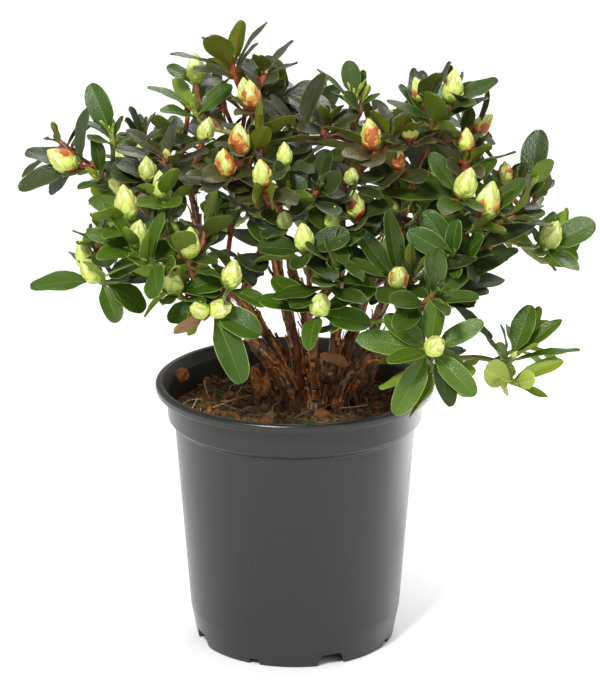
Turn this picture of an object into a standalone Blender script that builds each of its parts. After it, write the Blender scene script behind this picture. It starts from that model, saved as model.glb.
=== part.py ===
"""A potted azalea: a nursery pot filled with peat, a clump of stems and a crown of leafy shoots.

Every size below is in millimetres and is turned into metres where a mesh is made. +Z is up, the
plant's front faces -Y, and the origin is the centre of the pot's underside.
The crown is worked out by one rule. A clump of stems rises from the root crown, boughs leave the
stems, and each bough or stem ends where it enters a mass of foliage. A mass keeps to its own space:
a ball round its middle, cut by a flat plane between it and each neighbour. In it one stem forks to
its leading whorls and carries side twigs, and each twig ends in a whorl of leaves and often a flower
bud. A twig or a leaf that would leave the space, or touch a limb or the pot, is left out.
"""
import math
import random
from collections import namedtuple

import bmesh
import bpy
from mathutils import Quaternion, Vector
from mathutils.bvhtree import BVHTree

MM = 0.001
GAP = 0.3                 # clearance between two solids that touch
UP = Vector((0.0, 0.0, 1.0))
GOLDEN_ANGLE = math.radians(137.5)

# Pot
POT_SIDES = 36
POT_HEIGHT = 164.0
LIP_RADIUS = 85.0
LIP_DEPTH = 5.6
LIP_INNER_RADIUS = 80.6
COLLAR_RADIUS = 78.2
COLLAR_FOOT_RADIUS = 77.3
COLLAR_FOOT_HEIGHT = 141.6
BODY_TOP_RADIUS = 73.4
BODY_TOP_HEIGHT = 138.4
FOOT_STEP_RADIUS = 64.4
FOOT_STEP_HEIGHT = 17.6
FOOT_RADIUS = 63.0
BASE_RADIUS = 60.6
WALL = 1.4
FLOOR = 2.2
PAD_RADIUS = 34.0         # the flat pad in the middle of the underside, level with the outer foot
PAD_SLOPE = 2.0
FOOT_INNER_RADIUS = 57.4  # the inside of the outer foot
RECESS_HEIGHT = 9.0       # the ring between the two is raised this much, for drainage
INNER_FLOOR_RADIUS = 60.8 # the inside of the wall where it meets the floor

# Drainage notches, cut in turn wide and narrow through the pot's bottom edge
NOTCHES = 8
FIRST_NOTCH_BEARING = -159.0
NOTCH_INNER_RADIUS = 50.0
WIDE_NOTCH = (18.0, 12.0, 7.5)     # width at the mouth, width at the top, height
NARROW_NOTCH = (7.5, 5.0, 3.6)

# Peat, level under the stems and sloping down to the pot's wall
PEAT_CROWN_HEIGHT = 149.0
PEAT_CROWN_RADIUS = 52.0
PEAT_EDGE_HEIGHT = 144.5

# Root crown, the low knot of wood that the stems rise from, flat where they stand on it
CROWN_CENTRE = (14.0, 6.0)
CROWN_HALF_WIDTH = 32.0
CROWN_HALF_DEPTH = 26.0
CROWN_RINGS = ((1.00, 0.0), (0.95, 4.0), (0.84, 9.0))     # share of the half width, height
CROWN_SIDES = 14

# Limbs
LIMB_SIDES = 5
LIMB_STEPS = 4
CURVE_PULL = 0.36         # the share of a limb's span over which it holds its first and last ways
STEM_FOOT_RADIUS = 3.9
BOUGH_FOOT_RADIUS = 2.5
BOUGH_SHARE = 0.85        # a bough's foot is at most this share of its parent's radius there
SEAT_NUDGES = 8           # rounds of moving a bough's foot up to its parent
FOOT_SPOTS = 4            # spots measured on each edge of its foot
LIMB_TIP_RADIUS = 1.7
INNER_STEM_LEAN = 10.0    # lean at the foot, in degrees from upright, for a stem in the knot's middle
OUTER_STEM_LEAN = 34.0    # and for one at its edge
LEAST_FORK = math.radians(32.0)
WIDEST_FORK = math.radians(62.0)

# Foliage
STEM_STEPS = 2
FORK_SHARE = 0.2          # where a mass's own stem forks, as a share of its length
SPREAD = 0.03             # how much its leading whorls turn apart for each millimetre between them
TWIG_RADIUS = 1.6         # at the foot of a mass's own stem
TWIG_TIP_RADIUS = 1.1     # at its end, and all along a side twig
STALK_SHARE = 0.08        # the share of a leaf that may lie close to its twig
STALK_OFFSET = 0.45       # a leaf's root lies this far from the middle of its twig
STEM_REACH = 31.0         # length of a mass's own stem, from its bough to its leading whorls
INWARD_DRAW = 1.24        # how strongly its foot is drawn towards the limb's own foot
SIDE_TWIG = 26.0          # length of a side twig
LOWEST_SIDE = 0.46        # where side twigs leave, as shares of their stem's length
HIGHEST_SIDE = 0.80
SIDE_LEANS = (58.0, 76.0) # degrees
SIDE_RISE = 0.25
REACH = 51.0              # how far a mass's ball reaches beyond its leading whorls' spread
BALL_RISE = 0.7           # the ball's middle, between its limb's end and its leading whorls
SPREAD_WEIGHT = 0.4       # how much a mass with wider set whorls pushes its planes outwards
LEAF_LENGTH = 37.0
LEAF_WIDTH = 19.0
LEAF_STATIONS = (0.33, 0.80)
LEAF_LIFT = 0.036         # how far a leaf's sides rise above its keel, as a share of its length
WHORL_LEAVES = 6
SIDE_WHORL_LEAVES = 5
WHORL_DEPTH = 7.0         # the leaves of a whorl leave this much of the twig,
WHORL_DROP = 2.6          # below its very end
LOWEST_OPENING = 88.0     # the angle in degrees from twig to leaf for the lowest leaf of a whorl
HIGHEST_OPENING = 60.0    # and for the highest
LEAF_SIZES = (0.88, 1.08)
YOUNG_SHORTER = 0.12      # the highest leaf is shorter by this share
LEAF_RISE = 0.10          # how much a leaf bends up from that angle,
LEAF_TURN_UP = 0.35       # and turns its upper face to the sky
BUD_LENGTH = 17.0
BUD_SIZES = (0.82, 1.08)
BUD_WAIST = (0.42, 4.4)   # share of its length, radius
BUD_POINT = 0.5           # radius at the tip
BUD_SHARE = 0.60          # how many of the shoots end in a bud
LIMB_CLEARANCE = 2.6
# The places that a leaf may take, best first: turn and tilt in degrees, share of its length
PLACES = ((0, 0, 1.0), (7, 12, 1.0), (-7, -12, 1.0), (9, -24, 0.95), (-9, 26, 0.95), (0, -38, 0.9),
          (0, 10, 0.78), (0, -52, 0.85))

# A mass's name, where its limb starts, the places of its leading whorls, the way that they face and
# how many side twigs each leading shoot carries. A start is ("crown", bearing in degrees, share of the
# way out) on the root crown's top, or (another mass, share of the way along that mass's limb).
# The last number seeds the mass's own run of chance.
Mass = namedtuple("Mass", "name start tips aim twigs seed")
MASSES = (
    Mass("left_tip", ("crown", 183, 0.80), ((-131, -6, 299), (-102, 20, 319)), (-0.4, -0.1, 0.9), 2, 36),
    Mass("left_low", ("left_tip", 0.40), ((-112, -54, 250), (-92, -72, 281)), (-0.4, -0.4, 0.8), 2, 36),
    Mass("left_front", ("crown", 228, 0.82), ((-54, -88, 236), (-46, -62, 266)), (-0.1, -0.6, 0.8), 3, 27),
    Mass("upper_left", ("left_tip", 0.52), ((-78, -24, 308), (-64, 22, 332)), (-0.3, -0.1, 1.0), 2, 16),
    Mass("top", ("crown", 190, 0.34), ((-39, 2, 358), (-18, 14, 348)), (-0.1, 0.0, 1.0), 2, 26),
    Mass("upper_front", ("top", 0.66), ((-32, -46, 316), (-4, -50, 298)), (-0.1, -0.3, 1.0), 3, 48),
    Mass("top_middle", ("crown", 320, 0.34), ((36, 4, 326), (24, -30, 306)), (0.0, -0.1, 1.0), 2, 17),
    Mass("front", ("crown", 268, 0.82), ((2, -86, 274), (14, -98, 232)), (0.0, -0.7, 0.9), 3, 47),
    Mass("top_right", ("crown", 18, 0.80), ((90, 4, 330), (66, 12, 316)), (0.1, 0.0, 1.0), 2, 32),
    Mass("upper_right", ("top_right", 0.66), ((94, -44, 300), (58, -40, 281)), (0.0, -0.3, 1.0), 3, 13),
    Mass("right_front", ("crown", 306, 0.82), ((56, -86, 248), (82, -100, 216)), (0.1, -0.8, 0.8), 3, 26),
    Mass("right_edge", ("right_tip", 0.60), ((118, -60, 280), (104, -66, 257)), (0.3, -0.4, 0.9), 2, 14),
    Mass("right_tip", ("crown", 342, 0.82), ((148, -8, 258), (128, 20, 290)), (0.5, 0.0, 0.9), 2, 1),
    Mass("right_foot", ("right_tip", 0.16), ((136, -34, 197),), (0.9, -0.2, 0.5), 3, 29),
    Mass("back_left", ("crown", 135, 0.82), ((-94, 74, 280), (-96, 96, 244)), (-0.5, 0.4, 0.8), 2, 35),
    Mass("back_high", ("crown", 90, 0.40), ((-8, 70, 324), (-42, 84, 300)), (-0.1, 0.3, 1.0), 1, 35),
    Mass("back_low", ("back_left", 0.46), ((-34, 122, 246), (10, 124, 258)), (0.0, 0.7, 0.7), 1, 30),
    Mass("back_right", ("crown", 60, 0.84), ((58, 88, 298), (92, 62, 290)), (0.2, 0.3, 1.0), 1, 46),
    Mass("back_edge", ("back_right", 0.46), ((76, 112, 240), (118, 78, 244)), (0.4, 0.5, 0.7), 1, 6),
)

# Openings through the crown where the foliage parts: middle and radius, each open along SIGHT
SIGHT = Vector((0.0, math.cos(math.radians(18.3)), -math.sin(math.radians(18.3))))
CLEARINGS = (
    ((-38, 0, 251), 7.0),
    ((-19, 0, 239), 7.0),
    ((-14, 0, 214), 7.0),
    ((47, 0, 209), 7.0),
    ((-60, 0, 268), 6.0),
    ((108, 0, 208), 8.0),
)

Limb = namedtuple("Limb", "name points radii way")
# A twig: the way that it starts along, as many sides as its whorl has leaves, and its bud's size or 0
Line = namedtuple("Line", "points way sides turn bud seed")
Shoot = namedtuple("Shoot", "line leaves")
Leaf = namedtuple("Leaf", "root along facing length")


# ---------------------------------------------------------------- the rule that the crown grows by

def unit(x, y, z):
    return Vector((x, y, z)).normalized()


def square_to(direction):
    """A unit vector square to a direction, level where it can be."""
    side = direction.cross(UP)
    if side.length < 0.05:
        side = direction.cross(Vector((0.0, 1.0, 0.0)))
    return side.normalized()


def turned_about(vector, axis, angle):
    return Quaternion(axis, angle) @ vector


def curve_points(start, start_way, end, end_way, steps):
    """Points on one smooth bend that leaves start along start_way and arrives along end_way."""
    pull = CURVE_PULL * (end - start).length
    first = start + start_way * pull
    second = end - end_way * pull
    points = []
    for step in range(steps + 1):
        t = step / steps
        points.append(start * (1 - t) ** 3 + first * (3 * t * (1 - t) ** 2)
                      + second * (3 * t * t * (1 - t)) + end * t ** 3)
    return points


def point_along(points, share):
    """The point and the way at a share of a line's length."""
    spans = [(b - a).length for a, b in zip(points, points[1:])]
    left = share * sum(spans)
    for a, b, span in zip(points, points[1:], spans):
        if left <= span:
            return a + (b - a) * (left / span), (b - a).normalized()
        left -= span
    return points[-1].copy(), (points[-1] - points[-2]).normalized()


def taper(foot, tip, steps):
    return [foot + (tip - foot) * (step / steps) ** 0.8 for step in range(steps + 1)]


def mass_way(mass):
    return unit(*mass.aim)


def mass_middle(mass):
    return sum((Vector(tip) for tip in mass.tips), Vector()) / len(mass.tips)


def mass_foot(mass, origin):
    """Where a mass's own stem starts: below its leading whorls, drawn towards where its limb is from."""
    middle = mass_middle(mass)
    inward = (origin - middle).normalized()
    return middle + (inward * INWARD_DRAW - mass_way(mass)).normalized() * STEM_REACH


def stem_foot(mass):
    """Where a stem stands on the root crown and how it leans: outwards, more so at the edge."""
    bearing, share = math.radians(mass.start[1]), mass.start[2]
    top_share, top_height = CROWN_RINGS[-1]
    lean = math.radians(INNER_STEM_LEAN + (OUTER_STEM_LEAN - INNER_STEM_LEAN) * share ** 2)
    foot = Vector((CROWN_CENTRE[0] + CROWN_HALF_WIDTH * top_share * share * math.cos(bearing),
                   CROWN_CENTRE[1] + CROWN_HALF_DEPTH * top_share * share * math.sin(bearing),
                   PEAT_CROWN_HEIGHT + top_height + 2 * GAP + STEM_FOOT_RADIUS * math.sin(lean)))
    outward = mass_middle(mass) - foot
    outward = Vector((outward.x, outward.y, 0.0)).normalized()
    return foot, outward * math.sin(lean) + UP * math.cos(lean)


def bough_foot(parent, share, goal):
    """Where a bough is seated on its parent limb, and which way it leaves, turned towards its goal."""
    point, along = point_along(parent.points, share)
    parent_radius = parent.radii[int(share * LIMB_STEPS)]
    foot_radius = min(BOUGH_FOOT_RADIUS, parent_radius * BOUGH_SHARE)
    towards = (goal - point).normalized()
    fork = min(max(along.angle(towards), LEAST_FORK), WIDEST_FORK)
    way = turned_about(along, along.cross(towards).normalized(), fork)
    start = point + way * ((2 * parent_radius + foot_radius) / math.sin(fork))
    parent_skin = BVHTree.FromPolygons(*tube(parent.points, parent.radii, LIMB_SIDES, parent.way))
    for nudge in range(SEAT_NUDGES):
        start -= way * (foot_clearance(start, way, foot_radius, parent_skin) - GAP)
    return start, way, foot_radius


def foot_clearance(start, way, radius, skin):
    """The least distance from a limb's flat foot to another limb's skin, measured at spots on it."""
    side = square_to(way)
    spokes = [turned_about(side, way, math.tau * step / LIMB_SIDES) for step in range(LIMB_SIDES)]
    ring = [start + spoke * radius for spoke in spokes]
    spots = [start]
    for a, b in zip(ring, ring[1:] + ring[:1]):
        spots += [a.lerp(b, step / FOOT_SPOTS) for step in range(FOOT_SPOTS)]
    return min(skin.find_nearest(spot)[3] for spot in spots)


def grow_limbs():
    """Each mass's limb, a limb always after the one that it leaves."""
    limbs = {}
    waiting = list(MASSES)
    while waiting:
        mass = waiting.pop(0)
        if mass.start[0] == "crown":
            start, way = stem_foot(mass)
            foot_radius, name = STEM_FOOT_RADIUS, "stem_" + mass.name
        elif mass.start[0] in limbs:
            start, way, foot_radius = bough_foot(limbs[mass.start[0]], mass.start[1], mass_middle(mass))
            name = "bough_" + mass.name
        else:
            waiting.append(mass)
            continue
        end = mass_foot(mass, start)
        end_way = ((mass_middle(mass) - end).normalized() + (end - start).normalized()).normalized()
        points = curve_points(start, way, end, end_way, LIMB_STEPS)
        limbs[mass.name] = Limb(name, points, taper(foot_radius, LIMB_TIP_RADIUS, LIMB_STEPS), way)
    return limbs


def mass_ball(mass, limb):
    """The middle and the radius of the ball that a mass may fill, and its weight against others."""
    middle = mass_middle(mass)
    spread = max((Vector(tip) - middle).length for tip in mass.tips)
    return limb.points[-1].lerp(middle, BALL_RISE), REACH + spread, (REACH + SPREAD_WEIGHT * spread) ** 2


def touches_limb(point, limbs, clearance):
    for limb in limbs.values():
        for a, b, radius in zip(limb.points, limb.points[1:], limb.radii):
            span = b - a
            share = min(max((point - a).dot(span) / span.length_squared, 0.0), 1.0)
            if (point - a - span * share).length < radius + clearance:
                return True
    return False


def touches_pot(point):
    across = math.hypot(point.x, point.y)
    return across < LIP_RADIUS + 3.0 and point.z < POT_HEIGHT + 3.0


def in_clearing(point):
    for middle, radius in CLEARINGS:
        offset = point - Vector(middle)
        if (offset - SIGHT * offset.dot(SIGHT)).length < radius:
            return True
    return False


def in_space(point, mass, balls, margin):
    """Is a point in the mass's ball, and on its own side of the plane between it and each other?"""
    middle, radius, weight = balls[mass.name]
    if (point - middle).length > radius - margin:
        return False
    own = (point - middle).length_squared - weight
    for name, (other_middle, other_radius, other_weight) in balls.items():
        if name != mass.name:
            other = (point - other_middle).length_squared - other_weight
            if other - own < 2 * (margin + GAP) * (other_middle - middle).length:
                return False
    return True


def half_width(share):
    """A leaf's half width at a share of its length: narrow at the root, widest past the middle."""
    return 0.5 * LEAF_WIDTH * math.sin(math.pi * share ** 1.18) ** 0.72


def leaf_point(leaf, share, side):
    """A point on a leaf: side is -1 at one edge, 0 at the midrib and 1 at the other edge."""
    across = leaf.along.cross(leaf.facing)
    scale = leaf.length / LEAF_LENGTH
    lift = LEAF_LIFT * leaf.length * math.sin(math.pi * share) * abs(side)
    return (leaf.root + leaf.along * (share * leaf.length) + across * (half_width(share) * scale * side)
            + leaf.facing * lift)


def leaf_is_free(leaf, mass, balls, limbs):
    for share in (0.16, 0.34, 0.5, 0.64, 0.78, 0.9, 1.0):
        for side in (-1, 0, 1):
            point = leaf_point(leaf, share, side)
            if not in_space(point, mass, balls, 1.2) or touches_pot(point) or in_clearing(point):
                return False
            if touches_limb(point, limbs, LIMB_CLEARANCE):
                return False
    return True


def leaf_skin(leaf):
    """The blade beyond its stalk, which may share its twig with the stalks of others."""
    stalk = STALK_SHARE * leaf.length
    blade = leaf._replace(root=leaf.root + leaf.along * stalk, length=leaf.length - stalk)
    return BVHTree.FromPolygons(*leaf_solid(blade))


def twig_is_free(points, mass, balls, limbs):
    for a, b in zip(points, points[1:]):
        for share in (0.25, 0.5, 0.75, 1.0):
            point = a.lerp(b, share)
            if not in_space(point, mass, balls, TWIG_RADIUS + 0.4) or touches_pot(point):
                return False
            if touches_limb(point, limbs, TWIG_RADIUS + 0.8):
                return False
    return True


def whorl(line):
    """The leaves at a twig's end: for each, the places that it may take, best first.

    Each leaf leaves the middle of a side of the twig of its own, two sides on from the one before.
    """
    chance = random.Random("leaves " + line.seed)
    tip = line.points[-1]
    way, side = ring_frames(line.points, line.way, line.turn)[-1]
    rounds = list(range(0, line.sides, 2)) + list(range(1, line.sides, 2))
    leaves = []
    for number in range(line.sides):
        share = number / (line.sides - 1)
        opening = LOWEST_OPENING + (HIGHEST_OPENING - LOWEST_OPENING) * share + chance.uniform(-7, 7)
        length = LEAF_LENGTH * chance.uniform(*LEAF_SIZES) * (1 - YOUNG_SHORTER * share)
        root = tip - way * (WHORL_DEPTH * (1 - share) + WHORL_DROP)
        middle_of_side = math.tau * (rounds[number] + 0.5) / line.sides
        places = []
        for extra_turn, tilt, shorter in PLACES:
            out = turned_about(side, way, middle_of_side + math.radians(extra_turn))
            angle = math.radians(opening + tilt)
            along = (out * math.sin(angle) + way * math.cos(angle) + UP * LEAF_RISE).normalized()
            facing = way * math.sin(angle) - out * math.cos(angle) + UP * LEAF_TURN_UP
            facing = (facing - along * facing.dot(along)).normalized()
            places.append(Leaf(root + out * STALK_OFFSET, along, facing, length * shorter))
        leaves.append(places)
    return leaves


def bud_points(points, size):
    way = (points[-1] - points[-2]).normalized()
    return [points[-1] + way * (BUD_LENGTH * size * share) for share in (BUD_WAIST[0], 1.0)]


def make_line(points, way, sides, turn, seed, mass, balls):
    """A twig, and by chance a bud at its end where the mass has room for one."""
    chance = random.Random("bud " + seed)
    size = chance.uniform(*BUD_SIZES)
    wanted = chance.random() < BUD_SHARE
    room = all(in_space(point, mass, balls, BUD_WAIST[1] + 0.5) for point in bud_points(points, size))
    return Line(points, way, sides, turn, size if wanted and room else 0.0, seed)


def grow_lines(mass, limbs, balls):
    """A mass's own stem, forked to its leading whorls, then the side twigs of each fork."""
    name = "%s %d" % (mass.name, mass.seed)
    chance = random.Random("twigs " + name)
    limb = limbs[mass.name]
    way = (limb.points[-1] - limb.points[-2]).normalized()
    start = limb.points[-1] + way * GAP
    leaders = []
    for number, tip in enumerate(mass.tips):
        end = Vector(tip)
        end_way = (mass_way(mass) + (end - mass_middle(mass)) * SPREAD).normalized()
        points = curve_points(start, way, end, end_way, STEM_STEPS)
        turn = chance.uniform(0.0, math.tau)
        seed = "%s tip %d" % (name, number)
        leaders.append(make_line(points, way, WHORL_LEAVES, turn, seed, mass, balls))
        start, way = point_along(leaders[0].points, FORK_SHARE)
        way = (way + (end - start).normalized()).normalized()
    lines = list(leaders)
    for leader in leaders:
        for number in range(mass.twigs):
            share = LOWEST_SIDE + (HIGHEST_SIDE - LOWEST_SIDE) * number / max(1, mass.twigs - 1)
            start, along = point_along(leader.points, share)
            out = turned_about(square_to(along), along, leader.turn + number * GOLDEN_ANGLE)
            lean = math.radians(chance.uniform(*SIDE_LEANS))
            way = (out * math.sin(lean) + along * math.cos(lean) + UP * SIDE_RISE).normalized()
            length = SIDE_TWIG * chance.uniform(0.8, 1.2)
            turn = chance.uniform(0.0, math.tau)
            for shorter in (1.0, 0.8, 0.6):
                twig = [start, start + way * (length * shorter)]
                if twig_is_free(twig, mass, balls, limbs):
                    seed = "%s %d" % (leader.seed, number)
                    lines.append(make_line(twig, way, SIDE_WHORL_LEAVES, turn, seed, mass, balls))
                    break
    return lines


def twig_solid(line):
    """A tapering twig, and the bud that it may end in."""
    foot_radius = TWIG_TIP_RADIUS if len(line.points) == 2 else TWIG_RADIUS
    points = list(line.points)
    radii = taper(foot_radius, TWIG_TIP_RADIUS, len(points) - 1)
    if line.bud:
        points += bud_points(line.points, line.bud)
        radii += [BUD_WAIST[1] * line.bud, BUD_POINT]
    return tube(points, radii, line.sides, line.way, line.turn)


def grow_mass(mass, limbs, balls):
    """The shoots of one mass. A leaf takes the first place that is free and crosses no other piece."""
    lines = grow_lines(mass, limbs, balls)
    skins = [BVHTree.FromPolygons(*twig_solid(line)) for line in lines]
    shoots = []
    for line in lines:
        leaves = []
        for places in whorl(line):
            for leaf in places:
                if not leaf_is_free(leaf, mass, balls, limbs):
                    continue
                blade = leaf_skin(leaf)
                if not any(blade.overlap(other) for other in skins):
                    leaves.append(leaf)
                    skins.append(blade)
                    break
        shoots.append(Shoot(line, leaves))
    return shoots


# ------------------------------------------------------------------------------- meshes and solids

def make_object(name, vertices, faces, material=None):
    """A closed mesh from points in millimetres, its faces turned to point out."""
    mesh = bpy.data.meshes.new(name)
    mesh.from_pydata([Vector(v) * MM for v in vertices], [], faces)
    shape = bmesh.new()
    shape.from_mesh(mesh)
    bmesh.ops.recalc_face_normals(shape, faces=shape.faces)
    shape.to_mesh(mesh)
    shape.free()
    if material:
        mesh.materials.append(material)
    thing = bpy.data.objects.new(name, mesh)
    bpy.context.scene.collection.objects.link(thing)
    return thing


def make_material(name, colour, roughness, metallic=0.0):
    material = bpy.data.materials.new(name)
    material.use_nodes = True
    shader = material.node_tree.nodes["Principled BSDF"]
    shader.inputs["Base Color"].default_value = (*colour, 1.0)
    shader.inputs["Roughness"].default_value = roughness
    shader.inputs["Metallic"].default_value = metallic
    return material


def bridged(ring_count, sides):
    """The faces of a row of rings, joined each to the next, with a flat face over each end."""
    faces = [tuple(range(sides)), tuple(range((ring_count - 1) * sides, ring_count * sides))]
    for ring in range(ring_count - 1):
        for side in range(sides):
            a = ring * sides + side
            b = ring * sides + (side + 1) % sides
            faces.append((a, b, b + sides, a + sides))
    return faces


def turned_solid(name, profile, sides, material):
    """A profile of (radius, height) points turned about Z; its two ends become flat discs."""
    vertices = []
    for radius, height in profile:
        for side in range(sides):
            angle = math.tau * side / sides
            vertices.append((radius * math.cos(angle), radius * math.sin(angle), height))
    return make_object(name, vertices, bridged(len(profile), sides), material)


def ring_frames(points, first_way, turn):
    """At each point of a line, the way that it runs and a vector square to it that doesn't twist."""
    way = first_way
    side = turned_about(square_to(way), way, turn)
    frames = [(way, side)]
    for number in range(1, len(points)):
        before = points[number - 1]
        after = points[min(len(points) - 1, number + 1)]
        new_way = (after - before).normalized()
        side = way.rotation_difference(new_way) @ side
        way = new_way
        frames.append((way, side))
    return frames


def tube(points, radii, sides, first_way, turn=0.0):
    """Vertices and faces of a tapering tube along a line, its first end square to first_way."""
    vertices = []
    for point, radius, (way, side) in zip(points, radii, ring_frames(points, first_way, turn)):
        for step in range(sides):
            spoke = turned_about(side, way, math.tau * step / sides)
            vertices.append(point + spoke * radius)
    return vertices, bridged(len(points), sides)


def leaf_solid(leaf):
    """A leaf's outline in six points: flat across above, and below a keel from root to tip."""
    low, high = LEAF_STATIONS
    outline = [leaf_point(leaf, 0.0, 0), leaf_point(leaf, low, 1), leaf_point(leaf, high, 1),
               leaf_point(leaf, 1.0, 0), leaf_point(leaf, high, -1), leaf_point(leaf, low, -1)]
    above = [(0, 5, 1), (1, 5, 4), (1, 4, 2), (2, 4, 3)]
    below = [(0, 1, 3), (1, 2, 3), (0, 3, 5), (3, 4, 5)]
    return outline, above + below


def fused(name, pieces, material):
    """One solid from many: a Boolean union of the first piece with a collection of the others."""
    body = make_object(name, *pieces[0], material)
    others = bpy.data.collections.new(name + "_pieces")
    bpy.context.scene.collection.children.link(others)
    for number, (vertices, faces) in enumerate(pieces[1:]):
        piece = make_object("%s_piece_%d" % (name, number), vertices, faces)
        bpy.context.scene.collection.objects.unlink(piece)
        others.objects.link(piece)
    union = body.modifiers.new("Union", "BOOLEAN")
    union.operation = "UNION"
    union.operand_type = "COLLECTION"
    union.collection = others
    union.solver = "MANIFOLD"
    depsgraph = bpy.context.evaluated_depsgraph_get()
    whole = bpy.data.meshes.new_from_object(body.evaluated_get(depsgraph))
    body.modifiers.remove(union)
    body.data = whole
    for piece in list(others.objects):
        bpy.data.objects.remove(piece)
    bpy.data.collections.remove(others)
    keep_largest_shell(body.data)
    return body


def keep_largest_shell(mesh):
    """Drop loose scraps, and the inner skins of hollows that the union sealed.

    The search crosses only edges with two faces: a hollow's skin may share one edge with the outside.
    """
    shape = bmesh.new()
    shape.from_mesh(mesh)
    bmesh.ops.triangulate(shape, faces=shape.faces)
    waiting = set(shape.faces)
    shells = []
    while waiting:
        shell = set()
        edge_of_search = [waiting.pop()]
        while edge_of_search:
            face = edge_of_search.pop()
            shell.add(face)
            for edge in face.edges:
                for neighbour in edge.link_faces:
                    if len(edge.link_faces) == 2 and neighbour in waiting:
                        waiting.remove(neighbour)
                        edge_of_search.append(neighbour)
        shells.append(shell)
    shells.sort(key=lambda shell: sum(face.calc_area() for face in shell))
    for shell in shells[:-1]:
        bmesh.ops.delete(shape, geom=list(shell), context="FACES")
    shape.to_mesh(mesh)
    shape.free()


# -------------------------------------------------------------------------------------- the pieces

def pad_profile(height, shift):
    """The side of the middle pad, from its edge up to the raised ring, moved out by shift."""
    return [(PAD_RADIUS + shift, height), (PAD_RADIUS + PAD_SLOPE + shift, height + RECESS_HEIGHT)]


def build_pot(material):
    lip_foot = POT_HEIGHT - LIP_DEPTH
    underside = pad_profile(0.0, 0.0) + [(FOOT_INNER_RADIUS, RECESS_HEIGHT), (FOOT_INNER_RADIUS, 0.0)]
    outside = [
        (BASE_RADIUS, 0.0), (FOOT_RADIUS, FOOT_STEP_HEIGHT - 2.0),
        (FOOT_STEP_RADIUS, FOOT_STEP_HEIGHT), (BODY_TOP_RADIUS, BODY_TOP_HEIGHT),
        (COLLAR_FOOT_RADIUS, COLLAR_FOOT_HEIGHT), (COLLAR_RADIUS, lip_foot), (LIP_RADIUS - 0.6, lip_foot),
        (LIP_RADIUS, POT_HEIGHT - 1.4), (LIP_RADIUS - 1.3, POT_HEIGHT),
    ]
    inside = [
        (LIP_INNER_RADIUS, POT_HEIGHT), (COLLAR_RADIUS - WALL, lip_foot - 1.0),
        (COLLAR_FOOT_RADIUS - WALL, COLLAR_FOOT_HEIGHT),
        (BODY_TOP_RADIUS - WALL, BODY_TOP_HEIGHT), (INNER_FLOOR_RADIUS, FLOOR + RECESS_HEIGHT),
    ] + pad_profile(FLOOR, -WALL)[::-1]
    pot = turned_solid("pot", underside + outside + inside, POT_SIDES, material)
    for number in range(NOTCHES):
        mouth, top, height = WIDE_NOTCH if number % 2 == 0 else NARROW_NOTCH
        bearing = math.radians(FIRST_NOTCH_BEARING + number * 360.0 / NOTCHES)
        cutter = notch_cutter("notch_%d" % number, mouth, top, height, bearing)
        boolean = pot.modifiers.new("Notch %d" % number, "BOOLEAN")
        boolean.operation = "DIFFERENCE"
        boolean.object = cutter
    pot.data.shade_smooth()
    pot.data.set_sharp_from_angle(angle=math.radians(30))
    return pot


def notch_cutter(name, mouth, top, height, bearing):
    """A wedge with a flat top and slanted sides that reaches in from outside the pot's foot."""
    below = 1.0
    foot = mouth / 2 + (mouth - top) / 2 / height * below
    section = ((-foot, -below), (foot, -below), (top / 2, height), (-top / 2, height))
    vertices = [(radius, across, up) for radius in (NOTCH_INNER_RADIUS, LIP_RADIUS) for across, up in section]
    cutter = make_object(name, vertices, bridged(2, len(section)))
    cutter.rotation_euler.z = bearing
    cutter.hide_render = True
    cutter.display_type = "WIRE"
    return cutter


def build_peat(material):
    """Peat fills the pot, its underside and sides parallel to the pot's and clear of them all round."""
    facet = GAP / math.cos(math.pi / POT_SIDES) + 0.05
    slope = (BODY_TOP_RADIUS - WALL - INNER_FLOOR_RADIUS) / (BODY_TOP_HEIGHT - FLOOR - RECESS_HEIGHT)
    foot = INNER_FLOOR_RADIUS - facet
    top_of_side = foot + slope * (BODY_TOP_HEIGHT - FLOOR - RECESS_HEIGHT) - 0.2
    rim = COLLAR_FOOT_RADIUS - WALL - facet - 0.4
    profile = pad_profile(FLOOR + GAP, -WALL - 2 * GAP) + [
        (foot, FLOOR + RECESS_HEIGHT + GAP), (top_of_side, BODY_TOP_HEIGHT),
        (rim, COLLAR_FOOT_HEIGHT + 0.6), (rim, PEAT_EDGE_HEIGHT), (PEAT_CROWN_RADIUS, PEAT_CROWN_HEIGHT),
    ]
    return turned_solid("peat", profile, POT_SIDES, material)


def build_root_crown(material):
    vertices = []
    for share, height in CROWN_RINGS:
        for side in range(CROWN_SIDES):
            angle = math.tau * side / CROWN_SIDES
            vertices.append((CROWN_CENTRE[0] + CROWN_HALF_WIDTH * share * math.cos(angle),
                             CROWN_CENTRE[1] + CROWN_HALF_DEPTH * share * math.sin(angle),
                             PEAT_CROWN_HEIGHT + GAP + height))
    return make_object("trunk_root_crown", vertices, bridged(len(CROWN_RINGS), CROWN_SIDES), material)


def build_limb(limb, material):
    vertices, faces = tube(limb.points, limb.radii, LIMB_SIDES, limb.way)
    return make_object(limb.name, vertices, faces, material)


def build_mass(mass, shoots, material):
    pieces = [twig_solid(shoot.line) for shoot in shoots]
    for shoot in shoots:
        pieces += [leaf_solid(leaf) for leaf in shoot.leaves]
    return fused("foliage_" + mass.name, pieces, material)


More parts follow.
